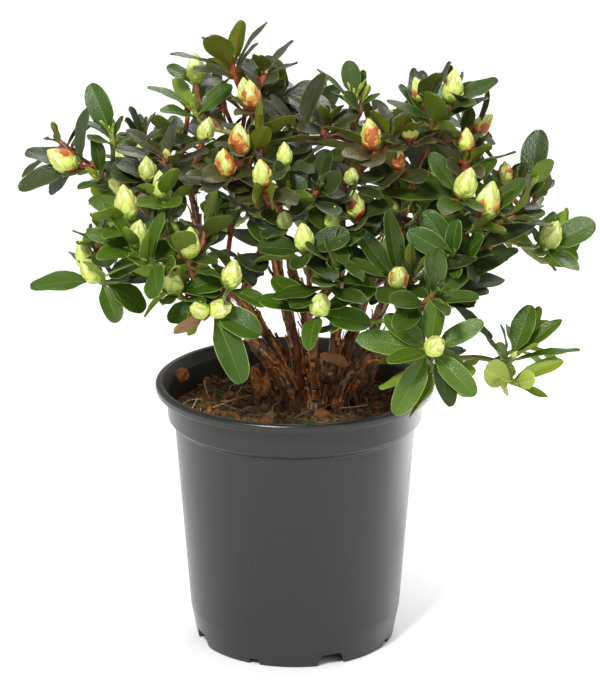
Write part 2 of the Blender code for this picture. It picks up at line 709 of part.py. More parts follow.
def main():
    for thing in list(bpy.data.objects):
        bpy.data.objects.remove(thing)
    plastic = make_material("pot plastic", (0.055, 0.054, 0.052), 0.42)
    peat = make_material("peat", (0.045, 0.024, 0.014), 0.95)
    bark = make_material("bark", (0.23, 0.11, 0.055), 0.9)
    leaf = make_material("leaf", (0.05, 0.10, 0.035), 0.45)
    build_pot(plastic)
    build_peat(peat)
    build_root_crown(bark)
    limbs = grow_limbs()
    balls = {mass.name: mass_ball(mass, limbs[mass.name]) for mass in MASSES}
    for mass in MASSES:
        build_limb(limbs[mass.name], bark)
        build_mass(mass, grow_mass(mass, limbs, balls), leaf)


main()
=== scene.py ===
"""The looks of the potted azalea: its pot, peat, bark, twigs, leaves and buds, in its solids' frame.

Sizes are in millimetres, as in the part's source, and become metres where a mesh is made.
The crown grows by the source's rule from the same table of masses, and is carried on to finer shoots:
each shoot of SHOOTS grows on from its mass's own stem, and all end in fuller whorls of smaller leaves.
"""
import math
import random
from collections import namedtuple

import bmesh
import bpy
import numpy as np
from mathutils import Euler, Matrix, Quaternion, Vector, noise
from mathutils.bvhtree import BVHTree


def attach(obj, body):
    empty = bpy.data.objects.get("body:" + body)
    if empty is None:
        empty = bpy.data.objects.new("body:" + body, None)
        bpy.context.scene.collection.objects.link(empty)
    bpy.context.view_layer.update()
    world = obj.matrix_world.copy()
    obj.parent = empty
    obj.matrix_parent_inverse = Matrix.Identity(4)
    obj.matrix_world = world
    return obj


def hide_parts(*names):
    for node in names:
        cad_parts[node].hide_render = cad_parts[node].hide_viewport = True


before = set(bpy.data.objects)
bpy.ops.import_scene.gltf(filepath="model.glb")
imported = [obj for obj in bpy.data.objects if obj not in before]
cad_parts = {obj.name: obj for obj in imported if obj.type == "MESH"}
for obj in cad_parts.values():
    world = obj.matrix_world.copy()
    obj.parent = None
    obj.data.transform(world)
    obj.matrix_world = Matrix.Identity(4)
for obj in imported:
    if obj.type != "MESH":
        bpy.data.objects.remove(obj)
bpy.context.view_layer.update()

MM = 0.001
UP = Vector((0.0, 0.0, 1.0))
GOLDEN_ANGLE = math.radians(137.5)
SHARP = math.radians(55.0)          # edges more folded than this are creases

# ------------------------------------------------------------------ sizes shared with the part's source
GAP = 0.3
POT_HEIGHT = 164.0
LIP_RADIUS = 85.0
LIP_DEPTH = 5.6
LIP_INNER_RADIUS = 80.6
COLLAR_RADIUS = 78.2
COLLAR_FOOT_RADIUS = 77.3
COLLAR_FOOT_HEIGHT = 141.6
BODY_TOP_RADIUS = 73.4
BODY_TOP_HEIGHT = 138.4
FOOT_STEP_RADIUS = 64.4
FOOT_STEP_HEIGHT = 17.6
FOOT_RADIUS = 63.0
BASE_RADIUS = 60.6
WALL = 1.4
FLOOR = 2.2
PAD_RADIUS = 34.0
PAD_SLOPE = 2.0
FOOT_INNER_RADIUS = 57.4
RECESS_HEIGHT = 9.0
INNER_FLOOR_RADIUS = 60.8
NOTCHES = 8
FIRST_NOTCH_BEARING = -159.0
NOTCH_INNER_RADIUS = 50.0
WIDE_NOTCH = (18.0, 12.0, 7.5)
NARROW_NOTCH = (7.5, 5.0, 3.6)
PEAT_CROWN_HEIGHT = 149.0
PEAT_CROWN_RADIUS = 52.0
PEAT_EDGE_HEIGHT = 144.5
CROWN_CENTRE = (14.0, 6.0)
CROWN_HALF_WIDTH = 32.0
CROWN_HALF_DEPTH = 26.0
CROWN_TOP = (0.84, 9.0)
LIMB_STEPS = 4
CURVE_PULL = 0.36
STEM_FOOT_RADIUS = 3.9
BOUGH_FOOT_RADIUS = 2.5
LIMB_TIP_RADIUS = 1.7
INNER_STEM_LEAN = 10.0
OUTER_STEM_LEAN = 34.0
LEAST_FORK = math.radians(32.0)
WIDEST_FORK = math.radians(62.0)
STEM_STEPS = 2
FORK_SHARE = 0.2
SPREAD = 0.03
STEM_REACH = 31.0
INWARD_DRAW = 1.24
SIDE_TWIG = 26.0
LOWEST_SIDE = 0.46
HIGHEST_SIDE = 0.80
SIDE_LEANS = (58.0, 76.0)
SIDE_RISE = 0.25
REACH = 51.0
BALL_RISE = 0.7

Mass = namedtuple("Mass", "name start tips aim twigs seed")
MASSES = (
    Mass("left_tip", ("crown", 183, 0.80), ((-131, -6, 299), (-102, 20, 319)), (-0.4, -0.1, 0.9), 2, 36),
    Mass("left_low", ("left_tip", 0.40), ((-112, -54, 250), (-92, -72, 281)), (-0.4, -0.4, 0.8), 2, 36),
    Mass("left_front", ("crown", 228, 0.82), ((-54, -88, 236), (-46, -62, 266)), (-0.1, -0.6, 0.8), 3, 27),
    Mass("upper_left", ("left_tip", 0.52), ((-78, -24, 308), (-64, 22, 332)), (-0.3, -0.1, 1.0), 2, 16),
    Mass("top", ("crown", 190, 0.34), ((-39, 2, 358), (-18, 14, 348)), (-0.1, 0.0, 1.0), 2, 26),
    Mass("upper_front", ("top", 0.66), ((-32, -46, 316), (-4, -50, 298)), (-0.1, -0.3, 1.0), 3, 48),
    Mass("top_middle", ("crown", 320, 0.34), ((36, 4, 326), (24, -30, 306)), (0.0, -0.1, 1.0), 2, 17),
    Mass("front", ("crown", 268, 0.82), ((2, -86, 274), (14, -98, 232)), (0.0, -0.7, 0.9), 3, 47),
    Mass("top_right", ("crown", 18, 0.80), ((90, 4, 330), (66, 12, 316)), (0.1, 0.0, 1.0), 2, 32),
    Mass("upper_right", ("top_right", 0.66), ((94, -44, 300), (58, -40, 281)), (0.0, -0.3, 1.0), 3, 13),
    Mass("right_front", ("crown", 306, 0.82), ((56, -86, 248), (82, -100, 216)), (0.1, -0.8, 0.8), 3, 26),
    Mass("right_edge", ("right_tip", 0.60), ((118, -60, 280), (104, -66, 257)), (0.3, -0.4, 0.9), 2, 14),
    Mass("right_tip", ("crown", 342, 0.82), ((148, -8, 258), (128, 20, 290)), (0.5, 0.0, 0.9), 2, 1),
    Mass("right_foot", ("right_tip", 0.16), ((136, -34, 197),), (0.9, -0.2, 0.5), 3, 29),
    Mass("back_left", ("crown", 135, 0.82), ((-94, 74, 280), (-96, 96, 244)), (-0.5, 0.4, 0.8), 2, 35),
    Mass("back_high", ("crown", 90, 0.40), ((-8, 70, 324), (-42, 84, 300)), (-0.1, 0.3, 1.0), 1, 35),
    Mass("back_low", ("back_left", 0.46), ((-34, 122, 246), (10, 124, 258)), (0.0, 0.7, 0.7), 1, 30),
    Mass("back_right", ("crown", 60, 0.84), ((58, 88, 298), (92, 62, 290)), (0.2, 0.3, 1.0), 1, 46),
    Mass("back_edge", ("back_right", 0.46), ((76, 112, 240), (118, 78, 244)), (0.4, 0.5, 0.7), 1, 6),
)

# The front view: where it is taken from, and the open places in it. Each is a round window of the
# plane y = 0, (x, z) and radius: sky round the crown and through it, and the view in to the stems.
CAMERA_DISTANCE = 2200.0
CAMERA_RISE = math.radians(18.3)
CAMERA_TARGET = Vector((3.0, 0.0, 188.0))
TO_CAMERA = Vector((0.0, -math.cos(CAMERA_RISE), math.sin(CAMERA_RISE)))
EYE = CAMERA_TARGET + TO_CAMERA * CAMERA_DISTANCE
OPEN_PLACES = (
    ((-97, 358), 23),
    ((-145, 340), 23),
    ((-152, 257), 20.6),
    ((-171, 308), 8.47),
    ((-26, 405), 17.6),
    ((-69, 382), 12.1),
    ((10, 373), 15.7),
    ((30, 378), 13.3),
    ((57, 362), 12.1),
    ((80, 372), 14.5),
    ((109, 370), 16.9),
    ((136, 342), 16.9),
    ((127, 317), 6.66),
    ((171, 303), 16.9),
    ((186, 277), 9.69),
    ((166, 285), 10.3),
    ((-147, 322), 9.08),
    ((-47, 386), 16.9),
    ((-29, 387), 13.3),
    ((-11, 382), 14.5),
    ((-4, 368), 7.26),
    ((59, 345), 5.45),
    ((146, 230), 9.08),
    ((170, 224), 7.26),
    ((111, 183), 4.84),
    ((-121, 212), 8.47),
    ((156, 275), 5.45),
    ((120, 330), 6.66),
    ((4, 358), 6.66),
    ((24, 355), 4.84),
    ((-111, 314), 3.63),
    ((-130, 262), 4.84),
    ((-75, 344), 6.66),
    ((-21, 223), 4.84),
    ((131, 231), 5.45),
    ((129, 211), 9.08),
    ((-136, 207), 9.69),
    ((140, 217), 6.05),
    ((-85, 340), 7.26),
    ((157, 218), 10.3),
    ((179, 214), 13.3),
    ((136, 222), 6.05),
    ((115, 202), 9.08),
    ((180, 147), 20.6),
    ((128, 132), 19.4),
    ((-125, 167), 32.7),
    ((-77, 162), 27.8),
    ((-41, 251), 3.63),
    ((-28, 261), 3.03),
    ((-20, 246), 4.24),
    ((-15, 230), 6.66),
    ((-28, 204), 7.87),
    ((-7, 199), 4.84),
    ((48, 205), 7.26),
    ((-62, 270), 4.84),
    ((-37, 345), 4.24),
    ((-37, 331), 5.45),
    ((-43, 320), 4.24),
    ((-12, 175), 18.2),
    ((35, 175), 16.9),
    ((10, 158), 14.5),
)

# ------------------------------------------------------------------------------- the finer growth
# A finer shoot: its mass, where its whorl sits, the way that it faces, its bud's size or 0, its
# leaves' tone and its leaves. A leaf is its tip from the whorl (x, y, z), how squarely its upper face
# is turned to the front (1) or away (-1), and its width.
Fine = namedtuple("Fine", "mass tip aim bud stain tone leaves")
FINE_SHOOTS = (
    Fine("left_tip", (-131, -16, 302), (-1, -0.3, 0.1), 1.2, 0.5, "dark",
         ((-33, -4, -11, 0.8, 15.9), (-16, 21, -20, 0.6, 15.6), (-27, 21, 4, 0.7, 18),
          (7, 11, 33, 0.5, 13.7), (-8, 30, 7, 0.5, 9.76), (-5, -17, -1, 0.6, 6.83))),
    Fine("left_tip", (-109, 6, 316), (-0.2, -0.1, 1), 0, 0, "fresh",
         ((-13, 8, 29, 1, 15.1), (-17, -1, 9, 0.5, 9.76), (6, 0, 11, 0.5, 7.81),
          (-20, -25, 6, 0.4, 10.7), (11, -4, 0, 0.4, 8.79))),
    Fine("left_tip", (-116, -20, 296), (-0.5, -0.2, 1), 0, 0, "mid",
         ((-2, 4, 25, 0.75, 10.5), (24, 24, 3, 0.6, 16.6), (-11, -14, -1, 0.5, 6.83))),
    Fine("upper_left", (-91, 20, 314), (0.1, -0.1, 1), 0, 0, "dark",
         ((-7, -21, 19, 0.5, 11.7), (5, 25, 5, 0.4, 8.79), (-9, -23, 13, 0.5, 9.76),
          (11, 26, -4, 0.5, 9.76))),
    Fine("upper_left", (-75, -30, 311), (-0.1, -0.3, 1), 0.5, 0.8, "bronze",
         ((-30, 0, 6, 0.5, 10.7), (-23, 3, 17, 0.6, 10.7), (3, 30, 16, 0.7, 13),
          (23, 4, 12, 0.4, 7.81), (-10, -18, 16, 0.4, 7.81), (12, -28, -2, 0.8, 12.9),
          (24, 2, 5, 0.3, 11), (8, -22, 11, -0.6, 7.81))),
    Fine("top", (-60, 10, 330), (0.0, 0, 1), 0, 0, "fresh",
         ((-27, 5, 14, 0.3, 11), (-13, 29, 11, -0.7, 13), (22, 1, 15, 0.75, 14.5),
          (-18, -25, 7, 0.45, 10.7), (20, 6, 19, 0.4, 8.79), (3, 31, 13, -0.7, 10.4))),
    Fine("top", (-59, 22, 345), (0.1, 0.05, 1), 1.0, 0, "mid",
         ((-17, -1, 9, 0.7, 12.1), (15, 25, -6, 0.6, 9.76), (5, 27, 0, 0.5, 11.7))),
    Fine("top", (-37, 0, 360), (-0.15, 0, 1), 0, 0, "bronze",
         ((-13, -20, 23, -0.9, 16.1), (-16, 28, 10, 0.5, 18), (5, 5, 26, -0.8, 10.6),
          (19, 8, 25, 0.35, 7.81), (-36, 3, 8, 0.12, 11), (14, 4, 13, 0.3, 11),
          (-21, -26, 5, 0.5, 11.7))),
    Fine("top", (-18, 14, 352), (0.05, 0.1, 1), 0.35, 0.3, "bronze",
         ((-4, -21, 20, -0.9, 11.4), (16, 3, 19, 0.45, 11.7), (19, 2, 6, 0.3, 11),
          (-19, -1, 9, 0.5, 10.7), (-10, -26, 4, 0.7, 10.4), (7, -26, 4, 0.6, 10.7))),
    Fine("top", (-25, -10, 338), (-0.2, -0.2, 1), 1.0, 0.6, "bronze",
         ((12, 26, -4, 0.5, 9.76), (-12, -2, 5, 0.3, 11), (-9, -24, 2, 0.4, 8.79))),
    Fine("top", (-22, -14, 318), (-0.1, -0.2, 1), 0.9, 0.0, "dark",
         ((-21, 1, 10, 0.25, 11), (3, 30, 15, 0.6, 17.6), (20, -3, 5, 0.5, 11.7),
          (-4, -24, 12, 0.6, 13.7))),
    Fine("upper_left", (-54, -6, 316), (0.4, -0.2, 1), 0.9, 0, "dark",
         ((-16, 28, 3, 0.6, 16.6), (3, -1, 9, 0.5, 12.7), (-20, -3, 4, 0.5, 11.7))),
    Fine("left_tip", (-86, -28, 299), (-0.3, -0.4, 0.9), 0.95, 0.15, "dark",
         ((-18, -1, 9, 0.6, 18), (-22, -3, 5, 0.7, 17.3), (2, 1, 16, -0.6, 11.7),
          (13, -24, 12, 0.5, 13.7), (-5, -27, 1, 0.4, 9.76), (-23, 25, 5, 0.6, 15.6))),
    Fine("left_front", (-77, -44, 292), (-0.05, -0.4, 0.9), 0.95, 0.3, "fresh",
         ((7, -20, 22, -0.7, 13), (-14, -2, 7, -0.6, 11.7), (8, -26, 3, 0.6, 13.7),
          (-8, -26, 3, 0.6, 15.6), (16, -1, 7, -0.7, 6.92))),
    Fine("upper_front", (-32, -50, 320), (0.15, -0.3, 1), 1.1, 0.5, "bronze",
         ((-4, -21, 7, 0.3, 11), (7, -4, -1, 0.5, 15.6), (14, 27, -2, 0.4, 9.76),
          (-18, -5, -2, 0.7, 17.3))),
    Fine("upper_front", (-40, -62, 311), (0.15, -0.4, 0.95), 1.1, 0.9, "bronze",
         ((-11, -26, 5, 0.9, 13.5), (14, -4, 0, 0.5, 17.6), (-18, 27, -1, 0.6, 17.6),
          (-21, -25, 6, 0.8, 9.84), (-8, -28, -2, 0.6, 15.6), (13, -7, -8, 0.6, 15.6))),
    Fine("upper_front", (-6, -48, 313), (-0.1, -0.3, 1), 0.8, 0, "dark",
         ((17, -5, -4, 0.5, 17.6), (-5, -28, 0, 0.5, 13.7), (-13, 27, -2, 0.5, 15.6),
          (13, 28, 0, 0.6, 17.6))),
    Fine("upper_front", (-18, -66, 306), (0.0, -0.4, 0.9), 1.0, 0.45, "bronze",
         ((-5, -28, -3, -0.6, 13.7), (6, -28, -3, -0.6, 14.6), (-15, -3, 5, 0.5, 13.7),
          (13, -6, -6, 0.6, 11.7), (19, -28, -3, 0.7, 13), (-15, -7, -8, 0.6, 17.6))),
    Fine("upper_front", (-5, -60, 297), (0.1, -0.4, 0.9), 0, 0, "mid",
         ((-5, 2, 20, 0.7, 13), (8, 0, 12, 0.9, 17.5), (15, -25, 7, -0.8, 9.08),
          (6, -27, 2, 0.8, 10.6), (20, 26, -5, 0.6, 15.6))),
    Fine("upper_front", (-6, -60, 279), (-0.1, -0.4, 0.9), 0.8, 0, "mid",
         ((-13, -1, 8, 0.5, 12.7), (10, 27, 0, 0.6, 15.6), (-10, -27, 1, 0.6, 14.6),
          (-13, -4, 1, 0.4, 9.76))),
    Fine("top_middle", (3, -10, 322), (-0.2, -0.2, 1), 0, 0, "bronze",
         ((-23, 3, 18, 0.65, 17.7), (13, 11, 33, 0.6, 16.6), (-17, 4, 21, 0.5, 11.7),
          (-7, -30, -8, 0.8, 18), (-15, -1, 9, 0.4, 11.7))),
    Fine("top_middle", (18, 0, 324), (0, -0.1, 1), 0, 0, "bronze",
         ((-21, 2, 17, 0.7, 12.1), (-5, 31, 12, 0.85, 15.7), (-1, -21, 20, -0.9, 9.42),
          (10, 0, 12, -0.4, 9.76), (19, -1, 8, 0.6, 13.7), (-15, -26, 4, 0.5, 11.7),
          (12, -26, 5, 0.4, 11.7))),
    Fine("top_middle", (35, 14, 337), (-0.1, 0, 1), 0, 0, "mid",
         ((-3, 3, 21, 0.95, 12.1), (-21, 5, 16, 0.35, 6.83), (-13, -1, 4, 0.12, 11))),
    Fine("top_middle", (40, 20, 333), (0.1, 0, 1), 0, 0, "mid",
         ((1, 2, 18, 0.8, 7.57), (10, -1, 5, 0.6, 5.86), (-10, -24, 9, 0.6, 13.7))),
    Fine("top_middle", (46, -22, 316), (-0.75, -0.3, 0.9), 1.05, 0.6, "bronze",
         ((-28, 2, 12, -0.4, 15.6), (-38, 1, 2, 0.45, 9.76), (-2, -29, -4, 0.85, 16.4),
          (16, 28, 11, 0.6, 11.7), (-23, 23, 9, 0.5, 11.7), (7, -1, 8, -0.5, 8.79),
          (-17, -26, 3, 0.5, 12.7))),
    Fine("top_middle", (57, -16, 321), (0.1, -0.2, 1), 0, 0, "bronze",
         ((-12, 1, 15, -0.5, 13.7), (12, 30, 10, 0.5, 12.7), (8, -1, 10, 0.6, 12.7),
          (-4, 31, 11, 0.6, 13.7), (5, -28, -1, 0.6, 13.7))),
    Fine("top_right", (83, 0, 327), (0.2, -0.2, 1), 0, 0, "mid",
         ((-28, 1, 11, 0.5, 11.7), (-13, 28, 14, 0.85, 15.7), (-20, 23, 15, 0.7, 12.1),
          (-1, -21, 21, -0.8, 18), (31, 4, 13, 0.55, 12.7), (13, -27, 1, -0.6, 11.7),
          (-18, -25, 6, 0.5, 11.7))),
    Fine("top_right", (93, 6, 337), (-0.05, -0.1, 1), 1.15, 0.15, "mid",
         ((27, 1, 12, 0.65, 14), (6, 30, 9, 0.6, 12.7), (-19, -16, 8, 0.4, 8.79),
          (12, -23, 5, 0.4, 8.79))),
    Fine("top_right", (68, -18, 321), (0.1, -0.3, 0.95), 0.9, 0.5, "bronze",
         ((-7, -21, 19, -0.9, 10.8), (4, -21, 20, -0.9, 10.1), (10, -1, 10, -0.5, 9.76),
          (-15, -4, 1, 0.5, 13.7), (18, 19, -1, 0.4, 8.79), (13, -26, 4, 0.5, 11.7))),
    Fine("upper_right", (101, -24, 308), (0.05, -0.3, 0.95), 0, 0, "bronze",
         ((14, -1, 10, -0.5, 10.7), (-22, 0, 10, 0.55, 12.7), (-15, 30, 7, 0.5, 9.76),
          (30, 2, 6, 0.12, 11), (13, 30, 9, 0.6, 11.7), (7, -28, -1, 0.7, 12.1),
          (-12, -26, 4, 0.7, 13.8))),
    Fine("upper_right", (101, -20, 313), (-0.1, -0.2, 1), 0.85, 0.4, "bronze",
         ((8, 29, 4, 0.6, 11.7), (-7, -2, 7, 0.4, 7.81))),
    Fine("upper_right", (98, -46, 293), (0.15, -0.4, 0.9), 1.15, 0, "mid",
         ((-19, 6, 24, 0.95, 11.5), (19, 22, 17, 0.65, 15.8), (-50, 1, 2, 0.5, 12.7),
          (-13, -28, -1, 0.8, 13.6), (10, -27, 0, 0.5, 9.76), (-25, 22, 6, 0.7, 17.3))),
    Fine("upper_right", (61, -30, 306), (0, -0.4, 0.95), 0.7, 1.0, "bronze",
         ((-7, -28, -3, 0.6, 17.6), (13, -27, 0, 0.6, 16.6), (-16, -4, -1, 0.6, 18),
          (19, 24, -10, 0.5, 13.7))),
    Fine("right_edge", (111, -48, 281), (0.35, -0.3, 0.9), 1.3, 0.35, "mid",
         ((23, 5, 21, 0.6, 15.6), (34, 2, 7, 0.45, 8.79), (35, 1, 2, 0.6, 12.7),
          (16, 3, 16, -0.6, 7.81), (-10, 28, 3, 0.7, 13.8), (-27, -4, -4, 0.6, 18),
          (11, -23, -2, -0.7, 7.78), (-12, -23, -2, -0.7, 7.78))),
    Fine("right_edge", (103, -50, 261), (0.3, -0.3, 0.7), 0, 0, "dark",
         ((40, 6, 17, 0.65, 17.7), (-31, 5, 14, 0.15, 11), (11, -23, 5, 0.4, 7.81),
          (-18, -3, 4, 0.7, 18), (0, -30, -7, 0.4, 15.6))),
    Fine("right_tip", (125, -10, 292), (0.1, -0.2, 0.95), 0.8, 0.7, "bronze",
         ((13, -1, 9, 0.6, 14.6), (-10, -1, 8, 0.5, 9.76), (8, -27, 0, 0.5, 13.7))),
    Fine("right_tip", (141, 6, 283), (0.3, 0, 0.95), 0, 0, "mid",
         ((5, 11, 33, 0.85, 18), (12, 2, 18, -0.8, 12.1), (-8, -21, 18, 0.6, 11.7),
          (6, -14, 7, 0.6, 5.86))),
    Fine("right_tip", (150, -16, 254), (0.1, -0.3, 0.95), 1.15, 0, "fresh",
         ((28, 2, 13, 0.9, 18), (16, -29, -6, 0.8, 11.3), (4, 31, 11, 0.6, 13.7),
          (-12, 2, 14, 0.45, 8.79), (-7, -27, 2, 0.7, 8.65), (-17, -1, 0, 0.3, 11))),
    Fine("upper_right", (60, -80, 250), (0, -0.6, 0.8), 1.05, 0.3, "mid",
         ((-41, 6, 20, 0.8, 17.4), (-24, 10, 29, 0.85, 14.2), (-6, 13, 39, 0.75, 16.1),
          (-8, -28, -2, 0.85, 17.1), (-16, -7, -10, 0.4, 12.7), (16, -6, -6, 0.5, 11.7))),
    Fine("right_edge", (66, -74, 250), (0.25, -0.5, 0.8), 0, 0, "dark",
         ((39, 4, 13, 0.6, 14.6), (1, 3, 22, -0.8, 7.57), (12, 27, 17, 0.7, 18),
          (19, 3, 9, -0.6, 6.83), (12, 5, 15, -0.8, 4.54))),
    Fine("right_edge", (89, -66, 234), (0.95, -0.4, 0.1), 0.75, 0, "mid",
         ((14, -25, 6, 0.6, 9.76), (9, 24, 4, 0.5, 8.79))),
    Fine("right_edge", (91, -60, 241), (0.3, -0.4, 0.8), 0, 0, "dark",
         ((39, 7, 22, 0.7, 14.7), (22, -4, -1, 0.6, 16.6), (32, 11, 3, 0.8, 13.6),
          (12, -27, 0, 0.7, 12.1), (24, -9, -28, 0.5, 11.7), (-11, -27, 1, 0.4, 13.7))),
    Fine("right_front", (79, -104, 217), (0.05, -0.75, 0.65), 1.0, 0, "fresh",
         ((-43, 2, 7, 0.9, 14.8), (-27, 6, 19, 0.9, 13.5), (3, 7, 29, 0.8, 15.9),
          (29, 4, 16, 0.9, 12.1), (-25, -23, 1, 0.7, 13.8), (-21, -12, -35, 1, 15.7),
          (25, -8, -24, 0.95, 14), (-18, 11, 32, 0.7, 16.4), (21, 22, -16, 0.6, 9.76))),
    Fine("right_front", (82, -92, 210), (0.15, -0.7, 0.3), 0, 0, "mid",
         ((7, -25, -22, 0.85, 15.7), (20, 26, -4, 0.6, 11.7), (-8, 20, -22, 0.6, 15.6))),
    Fine("right_foot", (130, -40, 192), (0.25, -0.3, 0.9), 0.3, 0, "fresh",
         ((10, 8, 29, 0.9, 15.5), (28, 7, 21, 0.8, 9.84), (39, 1, 4, 0.4, 9.76),
          (-11, -22, 15, 0.8, 7.57), (14, -5, 10, -0.7, 4.32), (-17, 4, 13, 0.25, 11))),
    Fine("right_foot", (131, -44, 177), (0.3, -0.5, 0.4), 0, 0, "young",
         ((-19, -22, 16, -1, 16.9), (10, -24, 11, -1, 11.5), (-6, 28, 3, -1, 10.9),
          (28, 2, 13, 0.8, 11.3), (19, -3, -8, 0.3, 11), (-9, -26, 4, -0.9, 12.1))),
    Fine("left_low", (-97, -54, 282), (-0.3, -0.3, 1), 1.2, 0, "fresh",
         ((-22, 25, 6, 0.65, 18), (-20, -24, 11, -0.7, 13), (-4, 31, 11, 0.6, 11.7),
          (-12, -28, -3, 0.6, 13.7))),
    Fine("left_low", (-92, -66, 269), (0.15, -0.4, 0.9), 1.05, 0, "fresh",
         ((-18, 5, 24, 0.7, 11.2), (-28, 0, 8, 0.7, 14.7), (17, 0, 12, 0.6, 14.6),
          (24, -5, -3, 0.6, 18), (-20, -27, 1, 0.7, 13.8), (-4, -22, 17, -0.9, 10.1),
          (5, -29, -6, 0.6, 15.6))),
    Fine("left_low", (-116, -52, 244), (-0.35, -0.5, 0.9), 1.05, 0, "fresh",
         ((-39, -1, -4, 0.7, 18), (12, -11, -23, 0.95, 13.4), (38, 1, 3, 0.55, 18),
          (28, 1, -19, 0.8, 16.6), (-17, 16, 12, 0.5, 8.79), (-6, -19, 17, -0.6, 8.79))),
    Fine("left_low", (-122, -46, 250), (-0.15, -0.2, 1), 1.0, 0, "fresh",
         ()),
    Fine("upper_front", (-26, -44, 283), (0.6, -0.3, 0.6), 0, 0, "mid",
         ((-16, 0, 10, 0.5, 8.79), (14, -29, -11, 0.75, 16.9), (7, 27, -2, 0.5, 11.7))),
    Fine("left_front", (-53, -86, 230), (-0.4, -0.5, -0.4), 0, 0, "dead",
         ((-16, -27, 2, -0.8, 9.84),)),
    Fine("left_front", (-37, -40, 273), (0.1, -0.2, 0.6), 0, 0, "dark",
         ((15, -28, -3, 0.7, 13.8), (-19, -7, -8, 0.6, 14.6), (5, 28, 3, 0.5, 11.7))),
    Fine("left_front", (-30, -52, 254), (0.1, -0.3, -0.9), 0, 0, "dark",
         ((-13, -1, 8, 0.4, 8.79), (12, -3, 5, 0.45, 9.76), (34, 1, 2, 0.3, 11),
          (14, -27, 2, 0.6, 17.6), (4, -29, -4, 0.6, 15.6))),
    Fine("top", (-28, -4, 339), (-0.25, -0.1, 1), 0.9, 0, "mid",
         ()),
    Fine("left_front", (-69, -78, 244), (-0.25, -0.5, 0.9), 1.1, 0, "fresh",
         ((30, 1, 9, 0.65, 18), (-7, -25, 1, 0.5, 8.79), (-16, -2, 7, 0.5, 13.7),
          (-2, 30, 8, 0.6, 13.7), (17, -20, 1, 0.4, 7.81))),
    Fine("left_front", (-61, -76, 266), (0.35, -0.3, 0.95), 1.05, 0, "mid",
         ((-4, -20, 21, -1, 14.5), (-12, 0, 11, 0.6, 13.7), (16, -5, -3, 0.4, 10.7),
          (-11, 30, 11, 0.7, 15.6), (12, 29, 5, 0.6, 17.6), (18, -17, -8, 0.5, 8.79))),
    Fine("left_front", (-38, -78, 248), (0.15, -0.45, 0.9), 1.05, 0, "fresh",
         ((22, 25, 7, 0.6, 18), (22, -7, -9, 0.75, 11.3), (-8, 29, 5, 0.5, 11.7),
          (-24, -4, -2, 0.6, 18), (-5, -24, 9, -0.6, 12.7))),
    Fine("left_front", (-47, -88, 236), (0.5, -0.6, -0.1), 0.95, 0, "fresh",
         ((17, -13, -40, 0.97, 18), (27, -7, -12, 0.92, 17.8), (-26, -4, -3, 0.75, 15.3),
          (-9, 26, -3, 0.6, 14.6), (-15, -8, -11, -0.6, 16.6))),
    Fine("left_front", (-53, -90, 236), (-0.5, -0.75, -0.1), 0.9, 0, "fresh",
         ((-2, 28, 1, 0.6, 11.7), (-14, 26, -5, 0.6, 13.7))),
    Fine("front", (6, -86, 273), (-0.2, -0.5, 0.9), 1.0, 0, "mid",
         ((25, 0, 9, 0.75, 18), (-27, -3, 2, 0.6, 16.6), (-2, -28, -2, 0.75, 16.9),
          (15, -29, -9, 0.7, 18), (-16, 28, 1, 0.6, 14.6), (6, 30, 7, 0.6, 16.6))),
    Fine("front", (14, -96, 238), (-0.1, -0.5, 0.9), 1.05, 0.1, "fresh",
         ((-27, 5, 18, 0.8, 17.4), (-34, 2, 7, 0.6, 16.6), (33, 4, 13, 0.7, 13.8),
          (29, -4, -6, 0.9, 14.8), (-6, -31, -11, 0.9, 12.1), (12, 29, 13, 0.5, 14.6),
          (-12, 30, 10, 0.6, 13.7))),
    Fine("front", (21, -70, 281), (0.1, -0.4, 0.95), 0.8, 0, "mid",
         ((8, 27, -1, 0.6, 15.6), (-12, -1, 10, 0.6, 14.6), (13, -6, -6, 0.5, 17.6),
          (4, -31, -12, 0.6, 18), (-3, -23, -25, 0.7, 15.6))),
    Fine("upper_front", (13, -58, 300), (0.05, -0.5, 0.85), 0, 0, "dark",
         ((16, -5, -2, 0.4, 13.7), (-8, -28, -1, 0.6, 13.7), (-11, 28, 3, 0.6, 17.6),
          (5, 30, 16, 0.8, 15.1), (13, -1, 9, 0.6, 17.6), (7, -29, -4, 0.5, 15.6))),
    Fine("top_middle", (33, -40, 300), (0.05, -0.3, 0.95), 0.75, 0.4, "dark",
         ((-21, -3, 5, 0.6, 18), (19, -3, 5, 0.6, 15.6), (-8, 29, 4, 0.7, 17.3),
          (-1, -28, -3, 0.6, 15.6), (12, -27, 0, 0.4, 11.7))),
    Fine("upper_right", (36, -56, 284), (0, -0.4, 0.9), 0.95, 0.3, "dark",
         ((-25, 0, 9, 0.5, 16.6), (21, -1, 8, 0.6, 17.6), (-3, -29, -4, 0.6, 16.6),
          (-12, -24, 9, 0.4, 11.7), (13, -6, -5, 0.7, 18))),
)
LEADER_SNAP = 26.0        # a leader grows to a finer shoot instead when it is this close to its tip
CROWDED = 14.0            # a shoot that would end this close to another has no whorl of its own
MORE_BEHIND = 4           # side twigs for each leader of the back masses, beyond the source's
BUDS_BEHIND = 0.0         # a mass with finer shoots has buds on its side shoots only behind this
TONE_STAIN = {"bronze": 0.6, "dark": 0.3}
FEWEST_LEAVES = 3         # a side shoot with fewer leaves than this is not grown
NEAR_SIDE = -6.0          # a mass with finer shoots has side shoots only behind this, from its middle
FINE_STEPS = 5
TWIG_RADIUS = 1.8
TWIG_TIP_RADIUS = 1.4
WHORL_SWELL = 0.5         # a twig's extra width where its whorl stands
TWIG_SIDES = 8
BUD_SHARE = 0.45
BUD_SIZES = (0.7, 1.0)

